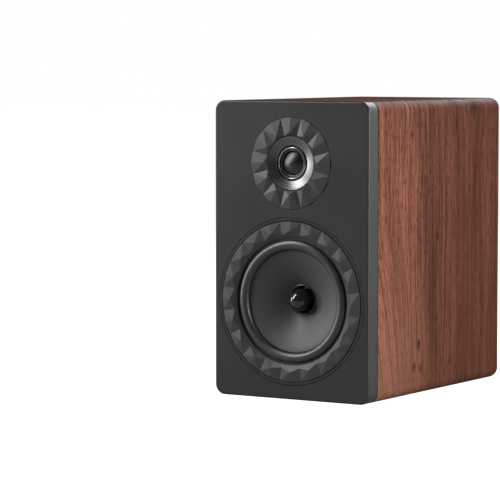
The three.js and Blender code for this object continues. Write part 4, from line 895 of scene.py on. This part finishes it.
def build_basket():
    chamfer, well, lip, throat = 0.35, 92.2, 70.9, 45.3
    ledge = SURROUND_OUTER + 6.5
    seat, seat_back = SPIDER_SEAT
    plate = BASKET_REAR - BASKET_WALL
    inside = BASKET_RADIUS - BASKET_WALL
    outline = [
        (WOOFER_FRAME, chamfer), (WOOFER_FRAME - chamfer, 0.0), (well + chamfer, 0.0), (well, chamfer),
        (well, TRIM_SEAT), (ledge, TRIM_SEAT), (ledge, FRAME_LEDGE), (lip, FRAME_LEDGE),
        (lip, FRAME_BACK), (inside, FRAME_BACK), (inside, BASKET_SHOULDER - 1.5),
        (seat - BASKET_WALL, seat_back - 1), (throat, seat_back - 1), (throat, plate), (30, plate),
        (30, BASKET_REAR), (seat, BASKET_REAR), (seat, seat_back), (BASKET_RADIUS, BASKET_SHOULDER),
        (BASKET_RADIUS, FRAME_BACK), (WOOFER_FRAME, FRAME_BACK),
    ]
    basket = lathe("woofer_frame", outline, WOOFER)
    cutters = []
    windows, near, reach = 6, 12.0, 95
    half = math.pi / windows
    left, top = reach * math.sin(half), near + reach * math.cos(half)
    for i in range(windows):
        angle = 2 * half * (i + 0.5)
        turned = [(WOOFER[0] + x * math.cos(angle) + z * math.sin(angle),
                   WOOFER[1] - x * math.sin(angle) + z * math.cos(angle))
                  for x, z in [(0, near), (-left, top), (left, top)]]
        cutters.append(slab(f"window_{i}", turned, 17, 37.1))
    for i, centre in enumerate(WOOFER_SCREWS):
        cutters.append(cylinder(f"hole_{i}", centre, SCREW_HEAD + 0.4, 3.0, 5.9, 24))
        cutters.append(cylinder(f"shank_{i}", centre, SCREW_HOLE, 5.0, 12, 24))
    combine(basket, cutters)
    settle(basket, "root", FRAME_BLACK, "black_frame", "woofer_basket")


def build_surround():
    """The half roll, with a flat lip on the frame's ledge and a glued flange behind the cone."""
    middle, half = (SURROUND_OUTER + SURROUND_INNER) / 2, (SURROUND_OUTER - SURROUND_INNER) / 2
    thickness, lip = 1.1, 0.4
    centre = (middle, SEAT_DEPTH)
    lip_end = SURROUND_OUTER + 5.5
    inner_end = SURROUND_INNER - 4.5
    under = CONE_THICKNESS + GAP
    outline = [(lip_end, SEAT_DEPTH - lip)]
    outline += ring_arc(centre, half, ROLL_HEIGHT, math.asin(lip / ROLL_HEIGHT), math.pi, 26)
    rim_lip, inner_lip = cone_depth(CONE_RIM) + under, cone_depth(inner_end) + under
    outline += [(SURROUND_INNER, rim_lip), (inner_end, inner_lip), (inner_end, inner_lip + thickness)]
    outline += [(SURROUND_INNER + thickness, rim_lip + thickness)]
    outline += ring_arc(centre, half - thickness, ROLL_HEIGHT - thickness, math.pi, 0.0, 18)
    outline += [(lip_end, SEAT_DEPTH)]
    piece = lathe("surround", outline, WOOFER, 160)
    settle(piece, None, RUBBER, "surround_rubber", "woofer_surround")
    flex(piece, "woofer_moving", WOOFER, SURROUND_INNER + 0.4, SURROUND_OUTER - 0.4)


def build_cone():
    edge, start, steps = 0.25, CONE_RIM - 0.6, 30
    radii = [start + (CONE_NECK - start) * i / steps for i in range(steps + 1)]
    front = [(radius, cone_depth(radius)) for radius in radii]
    back = [(radius, depth + CONE_THICKNESS) for radius, depth in reversed(front)]
    outline = [(CONE_RIM, RIM_DEPTH + edge), (CONE_RIM - edge, RIM_DEPTH), *front, *back]
    settle(lathe("cone", outline, WOOFER, 160), "woofer_moving", CONE, "cone", "woofer_cone")


def build_coil():
    low, high = depths_of("woofer_voice_coil")
    inner, outer = FORMER_RADII
    edge = 0.2
    outline = [(inner, low + edge), (inner + edge, low), (outer - edge, low), (outer, low + edge)]
    former = lathe("coil_former", [*outline, (outer, high), (inner, high)], WOOFER, 96)
    settle(former, "woofer_moving", FORMER_FOIL, "copper", "woofer_voice_coil")
    bead = ring_arc((outer - edge, low - 0.45), 0.34, 0.34, 0.0, 2 * math.pi, 16)[:-1]
    settle(lathe("neck_ring", bead, WOOFER), "woofer_moving", RIM_METAL, "copper")
    bore = outer + 0.02
    outline = [(bore, COIL_START), (COIL_RADIUS, COIL_START), (COIL_RADIUS, high), (bore, high)]
    settle(lathe("coil_winding", outline, WOOFER, 96), "woofer_moving", WINDING, "copper")


def build_plug():
    """The bullet in the middle of the cone. It stands on the pole and stays put."""
    middle = (0, PLUG_APEX + PLUG_RADIUS)
    nose = ring_arc(middle, PLUG_RADIUS, PLUG_RADIUS, math.pi / 2, 0.0, 24)
    foot = depths_of("phase_plug")[1]
    plug = lathe("plug", [*nose, (PLUG_RADIUS, foot), (0, foot)], WOOFER)
    settle(plug, "root", GLOSS, "gloss_black", "phase_plug")


def build_spider():
    """The pleated cloth that centres the coil, with its pleats dying out at both edges."""
    start, end, depth, thickness = 17.7, 45.0, 40, 0.8
    pleats, pleat_height, steps = 3, 1.4, 48
    front = []
    for i in range(steps + 1):
        share = i / steps
        fade = min(1, 8 * share, 8 * (1 - share))
        lift = pleat_height * math.sin(2 * math.pi * pleats * share) * fade
        front.append((start + (end - start) * share, depth + lift))
    front.append((48.0, 40.0))
    back = [(radius, depth + thickness) for radius, depth in reversed(front)]
    spider = lathe("spider", front + back, WOOFER, 96)
    settle(spider, None, SPIDER_CLOTH, "spider_cloth", "woofer_spider")
    flex(spider, "woofer_moving", WOOFER, start, 46.0)


build_basket()
WOOFER_FORM = (20, -2.2, 0.42, 2.1, 0.195, -0.2, 0.8)
faceted_ring("woofer_facets", WOOFER_FORM, 72.9, 91.3, 3.2, WOOFER, ["woofer_trim_ring"])
build_surround()
build_cone()
build_coil()
build_plug()
build_spider()

# ---- Tweeter ----
DOME_RADIUS = 13.3
DOME_RIM = 6.6
DOME_APEX = 1.6
DOME_SEAT = 6.0
SILK_THICKNESS = 0.5


def build_waveguide():
    """The turned horn, and the bright ring round the dome."""
    outer, throat, edge, front = 30.95, 20.2, 0.25, 0.1
    fall, curve, steps = 2.6, 1.12, 16
    back, step_depth = 4.4, 3.0
    start = outer - 2 * edge
    outline = [(outer, front + edge), (outer - edge, front)]
    for i in range(steps + 1):
        share = i / steps
        outline.append((start + (throat + edge - start) * share, front + fall * share**curve))
    outline += [(throat, step_depth), (throat, back), (outer, back)]
    guide = lathe("horn", outline, TWEETER, 160)
    settle(guide, "root", GUIDE, "waveguide_metal", "waveguide")
    inner, outer, back = 16.9, 18.1, 5.7
    crown = [(17.2, 2.5), (17.5, 2.35), (17.8, 2.5)]
    outline = [(inner, 2.9), *crown, (outer, 2.9), (outer, back), (inner, back)]
    ring = lathe("silver_ring", outline, TWEETER)
    settle(ring, "root", SILVER, "waveguide_metal", "dome_ring")


def build_dome():
    rise = DOME_RIM - DOME_APEX
    sphere = (DOME_RADIUS**2 + rise**2) / (2 * rise)
    widest = math.asin(DOME_RADIUS / sphere)

    def skin(radius):
        middle = (0, DOME_APEX + sphere)
        return ring_arc(middle, radius, radius, math.pi / 2, math.pi / 2 - widest, 20)

    dome = lathe("silk_dome", skin(sphere) + skin(sphere - SILK_THICKNESS)[::-1], TWEETER, 96)
    settle(dome, "tweeter_moving", SILK, "dome_silk", "dome")


def build_dome_roll():
    """The half roll that the dome hangs in, with its flange clamped behind the bright ring."""
    inner, outer, flange, rise = DOME_RADIUS + 0.4, 16.7, 18.7, 1.6
    middle, half = (inner + outer) / 2, (outer - inner) / 2
    under = DOME_SEAT + SILK_THICKNESS

    def roll(inset):
        return ring_arc((middle, DOME_SEAT), half - inset, rise - inset, math.pi, 0.0, 14)

    outline = [*roll(0), (flange, DOME_SEAT), (flange, under), (outer - SILK_THICKNESS, under)]
    outline += [*roll(SILK_THICKNESS)[::-1], (inner, under)]
    surround = lathe("dome_roll", outline, TWEETER, 96)
    settle(surround, None, SILK, "dome_silk", "dome_surround")
    flex(surround, "tweeter_moving", TWEETER, inner + 0.2, outer - 0.2)


TWEETER_FORM = (12, 0.0, 0.175, 3.2, 0.02, 0.35, 1.0)
faceted_ring("tweeter_facets", TWEETER_FORM, 31.4, TWEETER_FRAME, 3.0, TWEETER, ["tweeter_trim_ring"])
build_waveguide()
build_dome()
build_dome_roll()

# ---- Port# ---- Port ----


def build_port():
    start, end = depths_of("port_tube")
    middle = (PORT_BORE + PORT_FLARE, end - PORT_FLARE)
    flare = ring_arc(middle, PORT_FLARE, PORT_FLARE, -math.pi, -math.pi / 2, 18)
    neck = PORT_BORE + PORT_WALL
    outline = [(PORT_BORE + 0.8, start), (PORT_BORE, start + 1.0), *flare]
    outline += [(PORT_FLANGE - 0.6, end), (PORT_FLANGE - 0.17, end - 0.17), (PORT_FLANGE, end - 0.6)]
    outline += [(PORT_FLANGE, end - FLANGE_THICKNESS), (neck + PORT_FLARE / 2, end - FLANGE_THICKNESS)]
    outline += [(neck, end - PORT_FLARE), (neck, start)]
    settle(lathe("port", outline, PORT), "root", PLASTIC, "black_plastic", "port_tube")


build_port()

# ---- Terminals ----


POSTS = {"black": axis_of("post_black"), "red": axis_of("post_red")}
POST_HOLE = 3.3
SCREW_SHANK = 1.8
WASHER_BORE = 3.4
CAP_RADIUS = 7.0
SOCKET_RADIUS = 2.0  # for a 4 mm plug
SOCKET_DEPTH = 14
SLOT = (2.0, 0.45, 1.1)  # half length, half width and depth of a screw's cross
SIGN_RISE = 17  # from a post up to its sign
BAR = (5.6, 1.4)  # length and width of a sign's bars


def build_cup():
    floor = DEPTH - CUP_DEPTH
    under = depths_of("terminal_cup")[0]
    lip = 0.7
    rise = [(FLANGE_THICKNESS, 0.0), (lip, 0.0), (lip * 0.3, -lip * 0.3), (0, -lip)]
    cup = loft("terminal_tray", [(DEPTH - below, cup_outline(FLANGE, grow)) for below, grow in rise])
    combine(cup, [slab("body", cup_outline(CUP_INSIDE, CUP_WALL), under, DEPTH - 1.5)], "UNION")
    shape = [(floor, -1.6), (floor + 0.5, -0.6), (floor + 1.8, 0.0), (DEPTH - 1.2, 0.0),
             (DEPTH - 0.35, 0.3), (DEPTH + 0.01, 0.9), (DEPTH + 4, 0.9)]
    hollow = [(depth, cup_outline(CUP_INSIDE, grow)) for depth, grow in shape]
    cutters = [loft("hollow", hollow)]
    for centre in POSTS.values():
        cutters.append(cylinder("hole", centre, POST_HOLE, under - 3, floor + 3, 32))
    for i, centre in enumerate(TERMINAL_SCREWS):
        cutters.append(cylinder(f"head_{i}", centre, SCREW_HEAD + 0.4, DEPTH - 2.5, DEPTH + 3, 32))
        cutters.append(cylinder(f"shank_{i}", centre, SCREW_HOLE, DEPTH - 8, DEPTH, 24))
    combine(cup, cutters)
    level(cup)
    settle(cup, "root", PLASTIC, "black_plastic", "terminal_cup")


def build_screw(index, centre, back):
    """A countersunk screw with a cross recess, its head flush with the flange."""
    under, tip = back - 1.8, back - 10
    outline = [(0, back), (SCREW_HEAD - 0.5, back), (SCREW_HEAD, back - 0.5), (SCREW_HEAD, under),
               (SCREW_SHANK, under), (SCREW_SHANK, tip), (0, tip - 1)]
    screw = lathe(f"back_screw_{index}", outline, centre, 48)
    length, width, depth = SLOT
    cutters = []
    for k in range(2):
        angle = 0.35 + 1.1 * index + k * math.pi / 2  # no two screws stop at the same angle
        sine, cosine = math.sin(angle), math.cos(angle)
        corners = [(centre[0] + a * sine + b * cosine, centre[1] + a * cosine - b * sine)
                   for a, b in [(-length, -width), (length, -width), (length, width), (-length, width)]]
        cutters.append(slab(f"slot_{k}", corners, back - depth, back + 1))
    combine(screw, cutters)
    settle(screw, "root", BLACK_SCREW, "steel", f"terminal_screw_{index}")


def build_post(name):
    """The fixed post, with a round base on the cup's floor and a socket in its end."""
    start, end = depths_of(f"post_{name}")
    base, stem, foot = DEPTH - CUP_DEPTH + GAP, 3, 7
    inside = end - SOCKET_DEPTH
    outline = [(0, start), (stem, start), (stem, base), (foot, base), (foot, base + 2.6),
               (foot - 0.4, base + 3), (stem, base + 3), (stem, end - 0.4), (stem - 0.4, end),
               (SOCKET_RADIUS, end), (SOCKET_RADIUS, inside), (0, inside)]
    post = lathe(f"binding_post_{name}", outline, POSTS[name], 64)
    settle(post, "root", GOLD, "brass", f"post_{name}")


def build_washer(name):
    start, end = depths_of(f"washer_{name}")
    rim, edge = 5.5, 0.2
    outline = [(WASHER_BORE, start), (rim - edge, start), (rim, start + edge), (rim, end - edge),
               (rim - edge, end), (WASHER_BORE, end)]
    washer = lathe(f"ring_{name}", outline, POSTS[name], 64)
    settle(washer, f"washer_{name}_body", GOLD, "brass", f"washer_{name}")


def build_cap(name, material, slot):
    """The fluted cap, and the gold collar set in its end."""
    start, end = depths_of(f"cap_{name}")
    foot, top = start + 3, end - 1.5
    flutes, flute_depth, run_out = 8, 0.125, 1.2

    def fluted(angle, depth):
        inside = min(max(min(depth - foot, top - depth) / run_out, 0), 1)
        return 1 - flute_depth * max(0.0, math.cos(flutes * angle)) ** 1.5 * inside

    recess, well = 4.9, end - 0.9
    outline = [(WASHER_BORE, start), (CAP_RADIUS - 0.3, start), (CAP_RADIUS, start + 0.3)]
    outline += [(CAP_RADIUS, foot + (top - foot) * i / 12) for i in range(13)]
    outline += [(CAP_RADIUS, end - 0.7), (CAP_RADIUS - 0.2, end - 0.2), (CAP_RADIUS - 0.6, end)]
    outline += [(recess, end), (recess, well), (WASHER_BORE, well)]
    cap = lathe(f"knob_{name}", outline, POSTS[name], 160, fluted)
    settle(cap, f"cap_{name}_body", material, slot, f"cap_{name}")
    rim, edge, face = recess - 0.05, 0.25, end - 0.1
    outline = [(WASHER_BORE, well + 0.05), (rim, well + 0.05), (rim, face - edge), (rim - edge, face),
               (WASHER_BORE + 0.3, face), (WASHER_BORE, face - edge)]
    collar = lathe(f"collar_{name}", outline, POSTS[name], 64)
    settle(collar, f"cap_{name}_body", GOLD, "brass")


def build_signs():
    """A raised plus by the red post and a minus by the black one."""
    floor = DEPTH - CUP_DEPTH
    for name, post, bars in [("plus", "red", [BAR, BAR[::-1]]), ("minus", "black", [BAR])]:
        x, z = POSTS[post]
        solids = []
        for k, (width, height) in enumerate(bars):
            outline = rounded_outline(width, height, 0.3, x, z + SIGN_RISE, 3)
            solids.append(slab(f"{name}_{k}", outline, floor + 0.05, floor + 0.55))
        sign = solids[0]
        sign.name = f"sign_{name}"
        if len(solids) > 1:
            combine(sign, solids[1:], "UNION")
        settle(sign, "root", SIGN_PAINT, "black_plastic")


build_cup()
for number, place in enumerate(TERMINAL_SCREWS, 1):
    build_screw(number, place, depths_of(f"terminal_screw_{number}")[1])
for name, material, slot in [("black", PLASTIC, "black_plastic"), ("red", RED, "red_plastic")]:
    build_post(name)
    build_washer(name)
    build_cap(name, material, slot)
build_signs()

# ---- Wadding ----


def build_wadding():
    """Loose fill: a block with a crowned top, rounded sides and seeded lumps."""
    low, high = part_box("wadding")
    centre, half = (low + high) / 2, (high - low) / 2 - Vector((0.001, 0.001, 0.001))
    shape = bmesh.new()
    bmesh.ops.create_cube(shape, size=1.0)
    bmesh.ops.subdivide_edges(shape, edges=shape.edges[:], cuts=40, use_grid_fill=True)
    rng = np.random.default_rng(7)
    waves = [(rng.uniform(20, 160, 3), rng.uniform(0, 6.28), rng.uniform(0.2, 1)) for _ in range(24)]
    lump_height, lump_side = 0.002, 0.0015
    for vertex in shape.verts:
        x, y, z = vertex.co * 2
        crown = 0.62 + 0.30 * max((1 - abs(x) ** 10) * (1 - abs(y) ** 8), 0)
        pull = 1 - 0.05 * abs(z) ** 2
        unit = Vector((x * pull, y * pull, z * crown if z > 0 else z))
        spot = Vector((unit.x * half.x, unit.y * half.y, unit.z * half.z))
        lump = 0
        for (a, b, c), phase, size in waves:
            lump += size * math.sin(a * spot.x + b * spot.y + c * spot.z + phase)
        lump /= 14
        if z > 0:
            spot.z = min(spot.z + lump_height * lump, half.z)
        spot.y = max(min(spot.y + lump_side * lump, half.y), -half.y)
        vertex.co = centre + spot
    mesh = bpy.data.meshes.new("wadding_sheet")
    shape.to_mesh(mesh)
    shape.free()
    mesh.shade_smooth()
    piece = bpy.data.objects.new("wadding_sheet", mesh)
    scene.collection.objects.link(piece)
    settle(piece, "root", WADDING, "wadding", "wadding")


build_wadding()

# ---- Carried-over CAD nodes ----
CARRIED = [
    (FIBREBOARD, ["window_brace"]),
    (FRAME_BLACK, ["tweeter_plate"]),
    (FERRITE, ["woofer_magnet", "tweeter_magnet"]),
    (STEEL, ["woofer_top_plate", "woofer_pole_piece", "tweeter_top_plate", "tweeter_pole_piece"]),
    (STEEL, numbered("grille_magnet", 4)),
    (BLACK_SCREW, numbered("woofer_screw", 4) + numbered("tweeter_screw", 3)),
    (WINDING, ["tweeter_voice_coil", "woofer_inductor", "tweeter_inductor"]),
    (GOLD, ["nut_red", "nut_black"]),
    (BOARD, ["crossover_board"]),
    (FILM, ["crossover_capacitor"]),
    (CERAMIC, ["crossover_resistor"]),
    (LEAD, ["woofer_lead", "tweeter_lead"]),
]
for material, nodes in CARRIED:
    for node in nodes:
        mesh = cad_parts[node].data
        mesh.materials.clear()
        mesh.materials.append(material)
